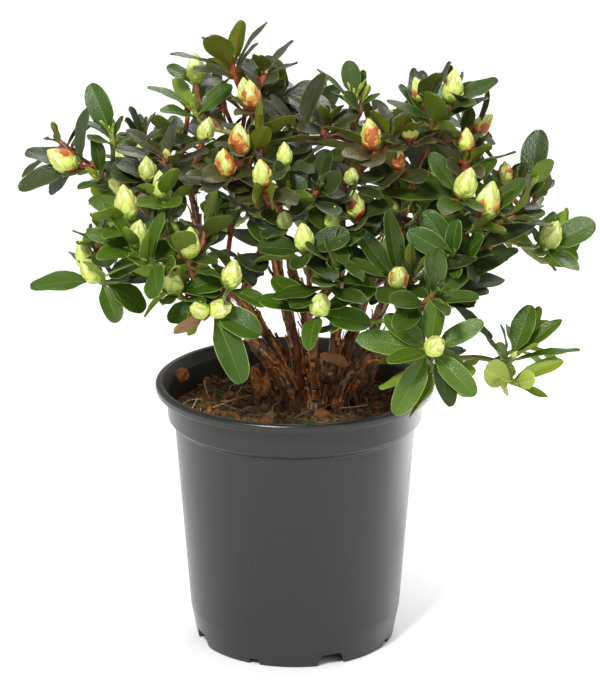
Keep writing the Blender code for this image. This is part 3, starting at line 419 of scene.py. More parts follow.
LEAF_LENGTH = 36.0
LEAF_WIDTHS = (0.39, 0.49)          # share of its length
LEAF_SIZES = (0.80, 1.08)
WHORL_DEPTH = 7.5
WHORL_DROP = 1.6
LOWEST_OPENING = 92.0
HIGHEST_OPENING = 50.0
LEAF_RISE = 0.10
LEAF_TURN_UP = 0.35
STALK_OFFSET = 0.5
STEM_LEAF_STEP = 9.0      # the leaves below a whorl stand this far apart along their twig
STEM_LEAVES = 3
LIMB_CLEARANCE = 1.0
PLACES = ((0, 0, 1.0), (8, 12, 1.0), (-8, -12, 1.0), (12, -26, 0.95), (-12, 24, 0.95), (16, -40, 0.9),
          (-18, 10, 0.85), (20, 14, 0.8), (0, -52, 0.85), (-24, -30, 0.75), (26, -20, 0.7))

# A leaf's mesh: shares of its length, and places across from one edge (-1) to the other (1)
LEAF_ROWS = (0.0, 0.05, 0.10, 0.16, 0.24, 0.35, 0.47, 0.59, 0.71, 0.82, 0.90, 0.95, 0.98, 0.994, 1.0)
LEAF_COLUMNS = (-1.0, -0.945, -0.5, -0.1, 0.1, 0.5, 0.945, 1.0)
STALK_SHARE = 0.06
STALK_ROWS = 2            # rows of faces that are the leaf's stalk
STALK_HALF_WIDTH = 0.6
RIB_HALF_WIDTH = 0.26
LEAF_THICKNESS = 0.5

Line = namedtuple("Line", "points way turn bud stain leaves tone seed")
Leaf = namedtuple("Leaf", "root along facing length width tone seed")
Limb = namedtuple("Limb", "name points radii way")


def srgb(red, green, blue):
    """Linear light from a colour given as 0 to 255."""
    return tuple(((part / 255 + 0.055) / 1.055) ** 2.4 for part in (red, green, blue))


# Each tone: shades of the upper face dealt out by shoot, then the rest of the leaf
Tone = namedtuple("Tone", "upper lower margin rib stalk")
TONES = {
    "fresh": Tone((srgb(60, 88, 14), srgb(70, 98, 18), srgb(52, 80, 12)), srgb(112, 134, 38),
                  srgb(128, 148, 66), srgb(98, 124, 40), srgb(128, 150, 44)),
    "mid": Tone((srgb(50, 70, 12), srgb(57, 78, 16), srgb(44, 63, 12)), srgb(98, 116, 34),
                srgb(108, 126, 58), srgb(80, 100, 34), srgb(120, 122, 40)),
    "dark": Tone((srgb(42, 54, 14), srgb(48, 60, 18), srgb(38, 48, 13)), srgb(84, 98, 28),
                 srgb(92, 102, 54), srgb(66, 80, 30), srgb(132, 84, 34)),
    # bronze: the lower face is the underside's own paler green, yellowed further by painted light shining through the
    # leaf
    "bronze": Tone((srgb(52, 56, 18), srgb(46, 51, 17), srgb(62, 62, 28)), srgb(92, 104, 12),
                   srgb(100, 94, 54), srgb(82, 78, 34), srgb(146, 54, 24)),
    # young: the new leaves' own yellow-green, made yellower by painted light shining through them
    "young": Tone((srgb(112, 132, 24), srgb(120, 140, 34), srgb(102, 124, 22)), srgb(172, 188, 88),
                  srgb(160, 178, 80), srgb(134, 152, 48), srgb(148, 160, 60)),
    "dead": Tone((srgb(136, 98, 68), srgb(128, 84, 46), srgb(96, 62, 34)), srgb(152, 114, 80),
                 srgb(120, 80, 44), srgb(150, 108, 64), srgb(110, 70, 36)),
}


# ---------------------------------------------------------------- the rule that the crown grows by

def square_to(direction):
    side = direction.cross(UP)
    if side.length < 0.05:
        side = direction.cross(Vector((0.0, 1.0, 0.0)))
    return side.normalized()


def turned_about(vector, axis, angle):
    return Quaternion(axis, angle) @ vector


def curve_points(start, start_way, end, end_way, steps):
    """Points on one smooth bend that leaves start along start_way and arrives along end_way."""
    pull = CURVE_PULL * (end - start).length
    first = start + start_way * pull
    second = end - end_way * pull
    points = []
    for step in range(steps + 1):
        t = step / steps
        points.append(start * (1 - t) ** 3 + first * (3 * t * (1 - t) ** 2)
                      + second * (3 * t * t * (1 - t)) + end * t ** 3)
    return points


def point_along(points, share):
    """The point and the way at a share of a line's length."""
    spans = [(b - a).length for a, b in zip(points, points[1:])]
    left = share * sum(spans)
    for a, b, span in zip(points, points[1:], spans):
        if left <= span:
            return a + (b - a) * (left / span), (b - a).normalized()
        left -= span
    return points[-1].copy(), (points[-1] - points[-2]).normalized()


def line_length(points):
    return sum((b - a).length for a, b in zip(points, points[1:]))


def taper(foot, tip, steps):
    return [foot + (tip - foot) * (step / steps) ** 0.8 for step in range(steps + 1)]


def mass_way(mass):
    return Vector(mass.aim).normalized()


def mass_middle(mass):
    return sum((Vector(tip) for tip in mass.tips), Vector()) / len(mass.tips)


def mass_foot(mass, origin):
    middle = mass_middle(mass)
    inward = (origin - middle).normalized()
    return middle + (inward * INWARD_DRAW - mass_way(mass)).normalized() * STEM_REACH


def stem_foot(mass):
    """Where a stem stands on the root crown and how it leans: outwards, more so at the edge."""
    bearing, share = math.radians(mass.start[1]), mass.start[2]
    top_share, top_height = CROWN_TOP
    lean = math.radians(INNER_STEM_LEAN + (OUTER_STEM_LEAN - INNER_STEM_LEAN) * share ** 2)
    foot = Vector((CROWN_CENTRE[0] + CROWN_HALF_WIDTH * top_share * share * math.cos(bearing),
                   CROWN_CENTRE[1] + CROWN_HALF_DEPTH * top_share * share * math.sin(bearing),
                   PEAT_CROWN_HEIGHT + top_height))
    outward = mass_middle(mass) - foot
    outward = Vector((outward.x, outward.y, 0.0)).normalized()
    return foot, outward * math.sin(lean) + UP * math.cos(lean)


def bough_foot(parent, share, goal):
    """Where a bough grows out of its parent limb, and which way, turned towards its goal."""
    point, along = point_along(parent.points, share)
    foot_radius = min(BOUGH_FOOT_RADIUS, parent.radii[int(share * LIMB_STEPS)] * 0.85)
    towards = (goal - point).normalized()
    fork = min(max(along.angle(towards), LEAST_FORK), WIDEST_FORK)
    return point, turned_about(along, along.cross(towards).normalized(), fork), foot_radius


def grow_limbs():
    """Each mass's limb, a limb always after the one that it leaves."""
    limbs = {}
    waiting = list(MASSES)
    while waiting:
        mass = waiting.pop(0)
        if mass.start[0] == "crown":
            start, way = stem_foot(mass)
            foot_radius, name = STEM_FOOT_RADIUS, "stem_" + mass.name
        elif mass.start[0] in limbs:
            start, way, foot_radius = bough_foot(limbs[mass.start[0]], mass.start[1], mass_middle(mass))
            name = "bough_" + mass.name
        else:
            waiting.append(mass)
            continue
        end = mass_foot(mass, start)
        end_way = ((mass_middle(mass) - end).normalized() + (end - start).normalized()).normalized()
        points = curve_points(start, way, end, end_way, LIMB_STEPS)
        limbs[mass.name] = Limb(name, points, taper(foot_radius, LIMB_TIP_RADIUS, LIMB_STEPS), way)
    return limbs


def mass_ball(mass, limb):
    middle = mass_middle(mass)
    spread = max((Vector(tip) - middle).length for tip in mass.tips)
    return limb.points[-1].lerp(middle, BALL_RISE), REACH + spread


def touches_limb(point, limbs, clearance):
    for limb in limbs.values():
        for a, b, radius in zip(limb.points, limb.points[1:], limb.radii):
            span = b - a
            share = min(max((point - a).dot(span) / span.length_squared, 0.0), 1.0)
            if (point - a - span * share).length < radius + clearance:
                return True
    return False


def touches_pot(point):
    across = math.hypot(point.x, point.y)
    return across < LIP_RADIUS + 3.0 and point.z < POT_HEIGHT + 2.0


def in_open_place(point):
    """Whether a point is seen from the front in one of the open places."""
    sight = point - EYE
    seen = EYE + sight * (EYE.y / -sight.y)
    for (x, z), radius in OPEN_PLACES:
        if math.hypot(seen.x - x, (seen.z - z) * TO_CAMERA.y) < radius:
            return True
    return False


def half_width(leaf, share):
    """A leaf's half width at a share of its length: a stalk, a narrow base, then a full, blunt end."""
    if share < STALK_SHARE:
        return STALK_HALF_WIDTH
    full = math.sin(math.pi * min(share, 0.9995) ** 1.3) ** 0.45
    narrowed = min(1.0, (share - STALK_SHARE) / 0.28) ** 0.75
    return max(0.5 * leaf.width * full * narrowed, STALK_HALF_WIDTH if share < 0.9 else 0.1)


def leaf_point(leaf, share, side):
    across = leaf.along.cross(leaf.facing)
    return leaf.root + leaf.along * (share * leaf.length) + across * (half_width(leaf, share) * side)


def leaf_is_free(leaf, ball, limbs):
    middle, radius = ball
    for share in (0.3, 0.5, 0.7, 0.88, 1.0):
        for side in (-1, 0, 1):
            point = leaf_point(leaf, share, side)
            if touches_pot(point) or in_open_place(point) or (point - middle).length > radius:
                return False
            if touches_limb(point, limbs, LIMB_CLEARANCE):
                return False
    return True


def ring_frames(points, first_way, turn):
    """At each point of a line, the way that it runs and a vector square to it that doesn't twist."""
    way = first_way
    side = turned_about(square_to(way), way, turn)
    frames = [(way, side)]
    for number in range(1, len(points)):
        before = points[number - 1]
        after = points[min(len(points) - 1, number + 1)]
        new_way = (after - before).normalized()
        side = way.rotation_difference(new_way) @ side
        way = new_way
        frames.append((way, side))
    return frames


def leaf_places(root, way, out_side, angle, opening, length, width, tone, seed):
    """The places that a leaf may take at an angle round its twig, best first."""
    places = []
    for extra_turn, tilt, shorter in PLACES:
        out = turned_about(out_side, way, angle + math.radians(extra_turn))
        open_angle = math.radians(opening + tilt)
        along = (out * math.sin(open_angle) + way * math.cos(open_angle) + UP * LEAF_RISE).normalized()
        facing = way * math.sin(open_angle) - out * math.cos(open_angle) + UP * LEAF_TURN_UP
        facing = (facing - along * facing.dot(along)).normalized()
        places.append(Leaf(root + out * STALK_OFFSET, along, facing, length * shorter, width * shorter,
                           tone, seed))
    return places


def turned_face(along, share):
    """The upper face's way for a leaf that turns it to the front by a share, and else upwards."""
    front = (TO_CAMERA - along * TO_CAMERA.dot(along)).normalized()
    across = along.cross(front)
    rest = math.sqrt(1 - share * share)
    return max((front * share + across * rest, front * share - across * rest),
               key=lambda facing: facing.z)


def own_whorl(line):
    """The leaves that the table gives a shoot: for each its own place, then a little off it."""
    way = ring_frames(line.points, line.way, line.turn)[-1][0]
    leaves = []
    for number, (x, y, z, share, width) in enumerate(line.leaves):
        root = line.points[-1] - way * (1.5 + WHORL_DEPTH * number / len(line.leaves))
        reach = line.points[-1] + Vector((x, y, z)) - root
        places = []
        for lift in (0, 8, -8, 16, -16):
            along = turned_about(reach.normalized(), reach.cross(TO_CAMERA).normalized(), math.radians(lift))
            out = turned_face(along, share)
            places.append(Leaf(root + along * STALK_OFFSET, along, out, reach.length, width, line.tone,
                               "%s leaf %d" % (line.seed, number)))
        leaves.append(places)
    return leaves


def whorl(line):
    """The leaves at a twig's end and the few below them: for each, the places that it may take."""
    chance = random.Random("leaves " + line.seed)
    way, side = ring_frames(line.points, line.way, line.turn)[-1]
    tip = line.points[-1]
    rounds = list(range(0, line.leaves, 2)) + list(range(1, line.leaves, 2))
    leaves = []
    for number in range(line.leaves):
        share = number / (line.leaves - 1)
        opening = LOWEST_OPENING + (HIGHEST_OPENING - LOWEST_OPENING) * share + chance.uniform(-8, 8)
        length = LEAF_LENGTH * chance.uniform(*LEAF_SIZES) * (1 - 0.22 * share ** 2)
        root = tip - way * (WHORL_DEPTH * (1 - share) + WHORL_DROP)
        angle = math.tau * (rounds[number] + 0.5) / line.leaves + chance.uniform(-0.14, 0.14)
        seed = "%s leaf %d" % (line.seed, number)
        leaves.append(leaf_places(root, way, side, angle, opening, length,
                                  length * chance.uniform(*LEAF_WIDTHS), line.tone, seed))
    below = min(STEM_LEAVES, int((line_length(line.points) - 12.0) / STEM_LEAF_STEP))
    for number in range(below):
        share = 1 - (WHORL_DEPTH + WHORL_DROP + STEM_LEAF_STEP * (number + 0.6)) / line_length(line.points)
        point, along = point_along(line.points, share)
        length = LEAF_LENGTH * chance.uniform(0.7, 0.95)
        out_side = (side - along * side.dot(along)).normalized()
        seed = "%s low %d" % (line.seed, number)
        leaves.append(leaf_places(point, along, out_side, number * GOLDEN_ANGLE + 1.0, 88.0, length,
                                  length * chance.uniform(*LEAF_WIDTHS), line.tone, seed))
    return leaves


def side_tone(point, chance):
    """The tone of a shoot that isn't in the table: bronze at the top of the crown, fresh at its foot."""
    height = point.z + chance.uniform(-28, 28)
    if height > 316:
        return "bronze"
    if height > 286:
        return "dark"
    return "mid" if height > 250 else "fresh"


def nearest_anchor(spot, anchors):
    return min(anchors, key=lambda anchor: (anchor[0] - spot).length)


def near_fine(end):
    return min((end - Vector(shoot.tip)).length for shoot in FINE_SHOOTS) < CROWDED


def grow_lines(mass, limbs):
    """A mass's twigs: its leaders, the finer shoots of the table, then side twigs by the rule."""
    name = "%s %d" % (mass.name, mass.seed)
    chance = random.Random("twigs " + name)
    limb = limbs[mass.name]
    fine = [shoot for shoot in FINE_SHOOTS if shoot.mass == mass.name]
    way = (limb.points[-1] - limb.points[-2]).normalized()
    start = limb.points[-1] - way * 2.0
    leaders = []
    for number, tip in enumerate(mass.tips):
        end = Vector(tip)
        end_way = (mass_way(mass) + (end - mass_middle(mass)) * SPREAD).normalized()
        bud = chance.uniform(*BUD_SIZES) if chance.random() < BUD_SHARE else 0.0
        leaves, tone = 7, side_tone(end, chance)
        stain = TONE_STAIN.get(tone, 0.0)
        near = [shoot for shoot in fine if (Vector(shoot.tip) - end).length < LEADER_SNAP]
        if near:
            shoot = min(near, key=lambda shoot: (Vector(shoot.tip) - end).length)
            fine.remove(shoot)
            end, end_way = Vector(shoot.tip), Vector(shoot.aim).normalized()
            bud, stain, leaves, tone = shoot.bud, shoot.stain, shoot.leaves, shoot.tone
        elif near_fine(end):
            bud, leaves = 0.0, ()
        points = curve_points(start, way, end, end_way, FINE_STEPS)
        turn = chance.uniform(0.0, math.tau)
        leaders.append(Line(points, way, turn, bud, stain, leaves, tone, "%s tip %d" % (name, number)))
        start, way = point_along(leaders[0].points, FORK_SHARE)
        way = (way + (end - start).normalized()).normalized()
    lines = list(leaders)
    in_table = any(shoot.mass == mass.name for shoot in FINE_SHOOTS)
    front = mass_middle(mass).y + NEAR_SIDE if in_table else -math.inf
    anchors = []
    for points in [limb.points] + [leader.points for leader in leaders]:
        for share in (0.55, 0.65, 0.75, 0.85, 0.92):
            anchors.append(point_along(points, share))
    for number, shoot in enumerate(fine):
        end, end_way = Vector(shoot.tip), Vector(shoot.aim).normalized()
        anchor, along = nearest_anchor(end - end_way * 22.0, anchors)
        way = (along + (end - anchor).normalized() * 2).normalized()
        points = curve_points(anchor, way, end, end_way, FINE_STEPS)
        turn = chance.uniform(0.0, math.tau)
        seed = "%s fine %d" % (name, number)
        lines.append(Line(points, way, turn, shoot.bud, shoot.stain, shoot.leaves, shoot.tone, seed))
        anchors.append(point_along(points, 0.5))
    for leader in leaders:
        twigs = mass.twigs + (MORE_BEHIND if mass.name.startswith("back") else 1)
        for number in range(twigs):
            share = LOWEST_SIDE + (HIGHEST_SIDE - LOWEST_SIDE) * number / max(1, twigs - 1)
            start, along = point_along(leader.points, share)
            out = turned_about(square_to(along), along, leader.turn + number * GOLDEN_ANGLE)
            lean = math.radians(chance.uniform(*SIDE_LEANS))
            way = (out * math.sin(lean) + along * math.cos(lean) + UP * SIDE_RISE).normalized()
            end = start + way * (SIDE_TWIG * chance.uniform(0.8, 1.2))
            turn = chance.uniform(0.0, math.tau)
            bud = chance.uniform(*BUD_SIZES) if chance.random() < BUD_SHARE else 0.0
            if in_table and end.y < BUDS_BEHIND:
                bud = 0.0
            tone = side_tone(end, chance)
            tips = [line.points[-1] for line in lines]
            crowded = near_fine(end) or min((end - tip).length for tip in tips) < CROWDED
            if not (crowded or touches_pot(end) or in_open_place(end)) and end.y > front:
                points = curve_points(start, way, end, (way + UP * 0.5).normalized(), 3)
                seed = "%s side %d" % (leader.seed, number)
                lines.append(Line(points, way, turn, bud, TONE_STAIN.get(tone, 0.0), 6, tone, seed))
    return lines


def leaf_skin(leaf):
    """A plain blade in the leaf's outline, to tell whether two leaves cross."""
    rim = [leaf_point(leaf, 0.14, 0)] + [leaf_point(leaf, share, 1) for share in (0.35, 0.6, 0.85)]
    rim += [leaf_point(leaf, 1.0, 0)] + [leaf_point(leaf, share, -1) for share in (0.85, 0.6, 0.35)]
    return BVHTree.FromPolygons(rim, [tuple(range(len(rim)))])


def grow_crown(limbs):
    """All twigs and, for each mass, its leaves: the table's first, then the rule's where there is room."""
    lines = {mass.name: grow_lines(mass, limbs) for mass in MASSES}
    skins = []
    leaves = {mass.name: [] for mass in MASSES}

    def room(leaf):
        middle = leaf_point(leaf, 0.5, 0)
        blade = leaf_skin(leaf)
        near = (skin for other, skin in skins if (other - middle).length < LEAF_LENGTH)
        return not any(blade.overlap(skin) for skin in near)

    def add(mass, leaf):
        leaves[mass.name].append(leaf)
        skins.append((leaf_point(leaf, 0.5, 0), leaf_skin(leaf)))

    for mass in MASSES:
        for line in lines[mass.name]:
            if isinstance(line.leaves, tuple):
                for places in own_whorl(line):
                    add(mass, next((leaf for leaf in places if room(leaf)), places[0]))
    for mass in MASSES:
        ball = mass_ball(mass, limbs[mass.name])
        kept = []
        for line in lines[mass.name]:
            if isinstance(line.leaves, int):
                before = len(leaves[mass.name])
                for places in whorl(line):
                    leaf = next((leaf for leaf in places if leaf_is_free(leaf, ball, limbs) and room(leaf)),
                                None)
                    if leaf:
                        add(mass, leaf)
                grown = len(leaves[mass.name]) - before
                if grown < FEWEST_LEAVES and " side " in line.seed:
                    if grown:
                        del leaves[mass.name][-grown:], skins[-grown:]
                    continue
            kept.append(line)
        lines[mass.name] = kept
    return lines, leaves


# ------------------------------------------------------------------------------- meshes

class Build:
    """Vertices, faces and each face's material, gathered for one joined piece."""

    def __init__(self):
        self.vertices = []
        self.faces = []
        self.slots = []
        self.places = []          # for each face corner, its place across and along a leaf
        self.count = 0

    def add(self, vertices, faces, slots, places=None):
        base = self.count
        self.vertices.append(np.asarray(vertices, dtype=float))
        self.count += len(vertices)
        for number, face in enumerate(faces):
            self.faces.append([base + corner for corner in face])
            self.slots.append(slots[number] if isinstance(slots, list) else slots)
            if places is None:
                self.places.extend([(0.5, 0.5)] * len(face))
            else:
                self.places.extend(places[corner] for corner in face)

    def piece(self, name, materials, smooth=True):
        used = sorted(set(self.slots))
        mesh = bpy.data.meshes.new(name)
        mesh.from_pydata(np.concatenate(self.vertices) * MM, [], self.faces)
        for slot in used:
            mesh.materials.append(materials[slot])
        index = {slot: number for number, slot in enumerate(used)}
        mesh.polygons.foreach_set("material_index", [index[slot] for slot in self.slots])
        mesh.polygons.foreach_set("use_smooth", [smooth] * len(self.faces))
        layer = mesh.uv_layers.new(name="leaf")
        layer.data.foreach_set("uv", np.array(self.places, dtype=np.float32).ravel())
        if smooth:
            mesh.set_sharp_from_angle(angle=SHARP)
        thing = bpy.data.objects.new(name, mesh)
        bpy.context.scene.collection.objects.link(thing)
        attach(thing, "root")
        return thing


def grid_faces(rows, columns, start=0, flip=False):
    """Two triangles for each cell of a grid, cut the same way on both sides of a slab."""
    faces = []
    for row in range(rows - 1):
        for column in range(columns - 1):
            a = start + row * columns + column
            for face in ((a, a + 1, a + columns + 1), (a, a + columns + 1, a + columns)):
                faces.append(face[::-1] if flip else face)
    return faces


def slab_faces(rows, columns):
    """A closed slab: an upper grid, a lower grid after it, and the rim between them."""
    lower = rows * columns
    rim = list(range(columns)) + [row * columns + columns - 1 for row in range(1, rows)]
    rim += [lower - 1 - column for column in range(1, columns)]
    rim += [row * columns for row in range(rows - 2, 0, -1)]
    edges = [(a, lower + a, lower + b, b) for a, b in zip(rim, rim[1:] + rim[:1])]
    return grid_faces(rows, columns), grid_faces(rows, columns, lower, True), edges


LEAF_FACES = slab_faces(len(LEAF_ROWS), len(LEAF_COLUMNS))


def leaf_mesh(leaf):
    """One leaf: folded along its midrib, arched along its length, with gently waved edges."""
    chance = random.Random("shape " + leaf.seed)
    young = leaf.tone == "young"
    fold = math.radians(chance.uniform(6, 20))
    arch = chance.uniform(-0.05, 0.6) if not young else chance.uniform(-0.2, 0.2)
    twist = chance.uniform(-0.25, 0.25)
    wave = chance.uniform(0.2, 0.8)
    waves = chance.uniform(1.2, 2.4)
    phase = chance.uniform(0, math.tau)
    across_way = leaf.along.cross(leaf.facing)
    frame_of_leaf = np.array([across_way, leaf.along, leaf.facing])
    upper, lower, places = [], [], []
    reach, height = 0.0, 0.0
    before = 0.0
    for share in LEAF_ROWS:
        slope = arch * (share - 0.3) - 0.15 * arch
        step = (share - before) * leaf.length
        reach += step * math.cos(slope)
        height -= step * math.sin(slope)
        before = share
        half = half_width(leaf, share)
        for column in LEAF_COLUMNS:
            if abs(column) < 0.3:
                x = math.copysign(min(RIB_HALF_WIDTH * (1.3 - share), half * 0.4), column)
            else:
                x = column * half
            blade = max(0.0, share - 0.06)
            z = abs(x) * math.tan(fold * (1 - 0.6 * share)) - 0.25 * (abs(column) < 0.3 and share > 0.06)
            z += wave * math.sin(waves * math.tau * share + phase + (2.0 if column > 0 else 0.0)) \
                * column ** 4 * min(1.0, blade * 6)
            angle = twist * share
            turned_x = x * math.cos(angle) - z * math.sin(angle)
            turned_z = x * math.sin(angle) + z * math.cos(angle)
            spot = (turned_x, reach + turned_z * math.sin(slope), height + turned_z * math.cos(slope))
            thick = LEAF_THICKNESS * (1.3 if abs(column) < 0.3 else 0.8 if abs(column) < 0.9 else 0.5)
            thick += 2.0 * max(0.0, 0.3 - share) * (abs(column) < 0.3)
            upper.append(spot)
            lower.append((spot[0], spot[1] - thick * math.sin(slope), spot[2] - thick * math.cos(slope)))
            places.append((0.5 + 0.5 * x / max(half, 0.01), share))
    points = np.array(upper + lower) @ frame_of_leaf + np.array(leaf.root)
    return points, places + places


def leaf_slots(tone, shade):
    """The material of each face of a leaf, in the order of LEAF_FACES."""
    columns = len(LEAF_COLUMNS) - 1
    upper, lower, rim = LEAF_FACES
    slots = []
    for number in range(len(upper)):
        row, column = divmod(number // 2, columns)
        if row < STALK_ROWS + (tone == "bronze"):
            slots.append(tone + "_stalk")
        elif column == columns // 2 and row < len(LEAF_ROWS) - 4:
            slots.append(tone + "_rib")
        elif column in (0, columns - 1):
            slots.append(tone + "_margin")
        else:
            slots.append("%s_upper_%d" % (tone, shade))
    for number in range(len(lower)):
        row, column = divmod(number // 2, columns)
        if row < STALK_ROWS or column == columns // 2 and row < len(LEAF_ROWS) - 4:
            slots.append(tone + "_stalk")
        else:
            slots.append(tone + "_lower")
    return slots + [tone + "_margin"] * len(rim)


def build_leaves(mass, leaves, materials):
    build = Build()
    upper, lower, rim = LEAF_FACES
    faces = upper + lower + rim
    for leaf in leaves:
        shoot = leaf.seed.rsplit(" ", 2)[0]
        shade = random.Random("shade " + shoot).randrange(3)
        points, places = leaf_mesh(leaf)
        build.add(points, faces, leaf_slots(leaf.tone, shade), places)
    piece = build.piece("leaves_" + mass.name, materials)
    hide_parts("foliage_" + mass.name)


def tube_mesh(points, radii, sides, first_way, turn=0.0, roughness=0.0, seed=0.0):
    """A closed tube along a line; roughness moves its skin in and out by that share of its radius."""
    vertices = []
    for number, (point, radius, (way, side)) in enumerate(
            zip(points, radii, ring_frames(points, first_way, turn))):
        for step in range(sides):
            spoke = turned_about(side, way, math.tau * step / sides)
            spot = point + spoke * radius
            swell = 1.0
            if roughness:
                ridge = noise.noise(Vector((spot.x * 0.5, spot.y * 0.5, spot.z * 0.11)) + UP * seed)
                fine = noise.noise(spot * 0.45 + UP * seed)
                swell += roughness * (ridge * 1.3 + fine * 0.7)
            vertices.append(point + spoke * (radius * swell))
    faces = [tuple(range(sides))[::-1], tuple(range((len(points) - 1) * sides, len(points) * sides))]
    for ring in range(len(points) - 1):
        for side_number in range(sides):
            a = ring * sides + side_number
            b = ring * sides + (side_number + 1) % sides
            faces.append((a, b, b + sides, a + sides))
    return vertices, faces


def smooth_line(points, step):
    """More points on the same line, about step apart, by a Catmull-Rom curve through it."""
    ends = [points[0] * 2 - points[1]] + list(points) + [points[-1] * 2 - points[-2]]
    smooth = [points[0].copy()]
    for number in range(1, len(ends) - 2):
        p0, p1, p2, p3 = ends[number - 1:number + 3]
        pieces = max(1, round((p2 - p1).length / step))
        for piece in range(1, pieces + 1):
            t = piece / pieces
            smooth.append(0.5 * (2 * p1 + (p2 - p0) * t + (2 * p0 - 5 * p1 + 4 * p2 - p3) * t * t
                                 + (3 * p1 - p0 - 3 * p2 + p3) * t ** 3))
    return smooth


def build_twigs(lines, materials):
    """Every twig of the crown, with a swollen ring below each whorl."""
    build = Build()
    for mass_lines in lines.values():
        for line in mass_lines:
            points = smooth_line(line.points, 3.0)
            count = len(points) - 1
            foot = TWIG_TIP_RADIUS if len(line.points) == 4 else TWIG_RADIUS
            radii = taper(foot, TWIG_TIP_RADIUS, count)
            for number in range(count + 1):
                left = (count - number) * 3.0
                if left < WHORL_DEPTH + WHORL_DROP:
                    radii[number] *= 1.0 + WHORL_SWELL * math.sin(math.pi * left / (WHORL_DEPTH + WHORL_DROP))
            slot = {"fresh": "twig_green", "young": "twig_green", "mid": "twig_brown"}.get(line.tone, "twig_red")
            vertices, faces = tube_mesh(points, radii, TWIG_SIDES, line.way, line.turn, 0.10, line.turn)
            build.add(vertices, faces, slot)
            build_tip(build, line)
    foot, tip = Vector(DRY_LEAF[0]), Vector(DRY_LEAF[1])
    along = (tip - foot).normalized()
    leaf = Leaf(foot, along, turned_face(along, 0.8), (tip - foot).length, DRY_LEAF_WIDTH, "dead", "dry leaf")
    points, places = leaf_mesh(leaf)
    upper, lower, rim = LEAF_FACES
    build.add(points, upper + lower + rim, leaf_slots("dead", 0), places)
    piece = build.piece("twigs", materials)


def build_tip(build, line):
    """The growing point of a shoot with no bud: a tuft of small upright leaves."""
    if line.bud or line.leaves == () or line.tone == "dead":
        return
    upper, lower, rim = LEAF_FACES
    way, side = ring_frames(line.points, line.way, line.turn)[-1]
    tone = line.tone if isinstance(line.leaves, int) or line.tone in ("dark", "bronze") else "young"
    for number in range(4):
        chance = random.Random("tuft %s %d" % (line.seed, number))
        out = turned_about(side, way, number * GOLDEN_ANGLE)
        lean = math.radians(10 + 8 * number)
        along = (way * math.cos(lean) + out * math.sin(lean)).normalized()
        facing = (way * math.sin(lean) - out * math.cos(lean)).normalized()
        length = 6.5 + 2.4 * number
        leaf = Leaf(line.points[-1] - way, along, facing, length, length * 0.34, tone,
                    "tuft %s %d" % (line.seed, number))
        points, places = leaf_mesh(leaf)
        shade = chance.randrange(3)
        build.add(points, upper + lower + rim, leaf_slots(tone, shade), places)


# A flower bud: its length and widest radius at size 1, and its outline and scales
BUD_LENGTH = 18.5
BUD_RADIUS = 5.2
BUD_OUTLINE = ((0.0, 0.34), (0.08, 0.66), (0.2, 0.92), (0.34, 1.0), (0.5, 0.95), (0.65, 0.79),
               (0.8, 0.53), (0.91, 0.28), (1.0, 0.03))
# Ranks of scales from the outside in: how many, where they start and end, and their half angle
BUD_RANKS = ((4, 0.0, 0.36, 58.0), (4, 0.02, 0.62, 60.0), (5, 0.10, 0.86, 52.0), (3, 0.2, 1.0, 70.0))
BUD_CORE = 0.93
BUD_UPRIGHT = 0.55        # how much a bud turns up from its shoot's own way
SCALE_ROWS = 7
SCALE_COLUMNS = 5
STAIN_GRAIN = 0.2
SCALE_LIFT = 0.22         # each rank lies this much further out than the next
RANK_STAIN = (1.0, 1.0, 0.6, 0.25)  # how readily the scales of each rank are stained


BUD_COLOURS = {
    "bud_tip": srgb(224, 234, 170),
    "bud_pale": srgb(208, 222, 114),
    "bud_green": srgb(150, 180, 54),
    "bud_edge": srgb(190, 196, 100),
    "bud_blush": srgb(198, 152, 72),
    "bud_stain": srgb(178, 92, 40),
    "bud_stain_dark": srgb(142, 54, 24),
}


def bud_radius(share):
    """The bud's radius at a share of its length: round below, drawn to a point above."""
    share = min(max(share, 0.0), 1.0)
    for (low, low_radius), (high, high_radius) in zip(BUD_OUTLINE, BUD_OUTLINE[1:]):
        if share <= high:
            along = (share - low) / (high - low)
            return BUD_RADIUS * (low_radius + (high_radius - low_radius) * along)
    return 0.0


def scale_slot(spot, rise, share, edge, stained):
    """The colour of a place on a bud's scale: green below, pale above, and rusty on a stained scale."""
    drift = noise.noise(spot * STAIN_GRAIN)
    if stained:
        depth = 1.0 - rise + 0.7 * drift
        if depth > 0.85 and not edge:
            return "bud_stain_dark"
        return "bud_stain" if depth > 0.38 else "bud_blush"
    if edge:
        return "bud_edge"
    if share + 0.15 * drift < 0.24:
        return "bud_green"
    return "bud_pale" if share + 0.2 * drift < 0.6 else "bud_tip"


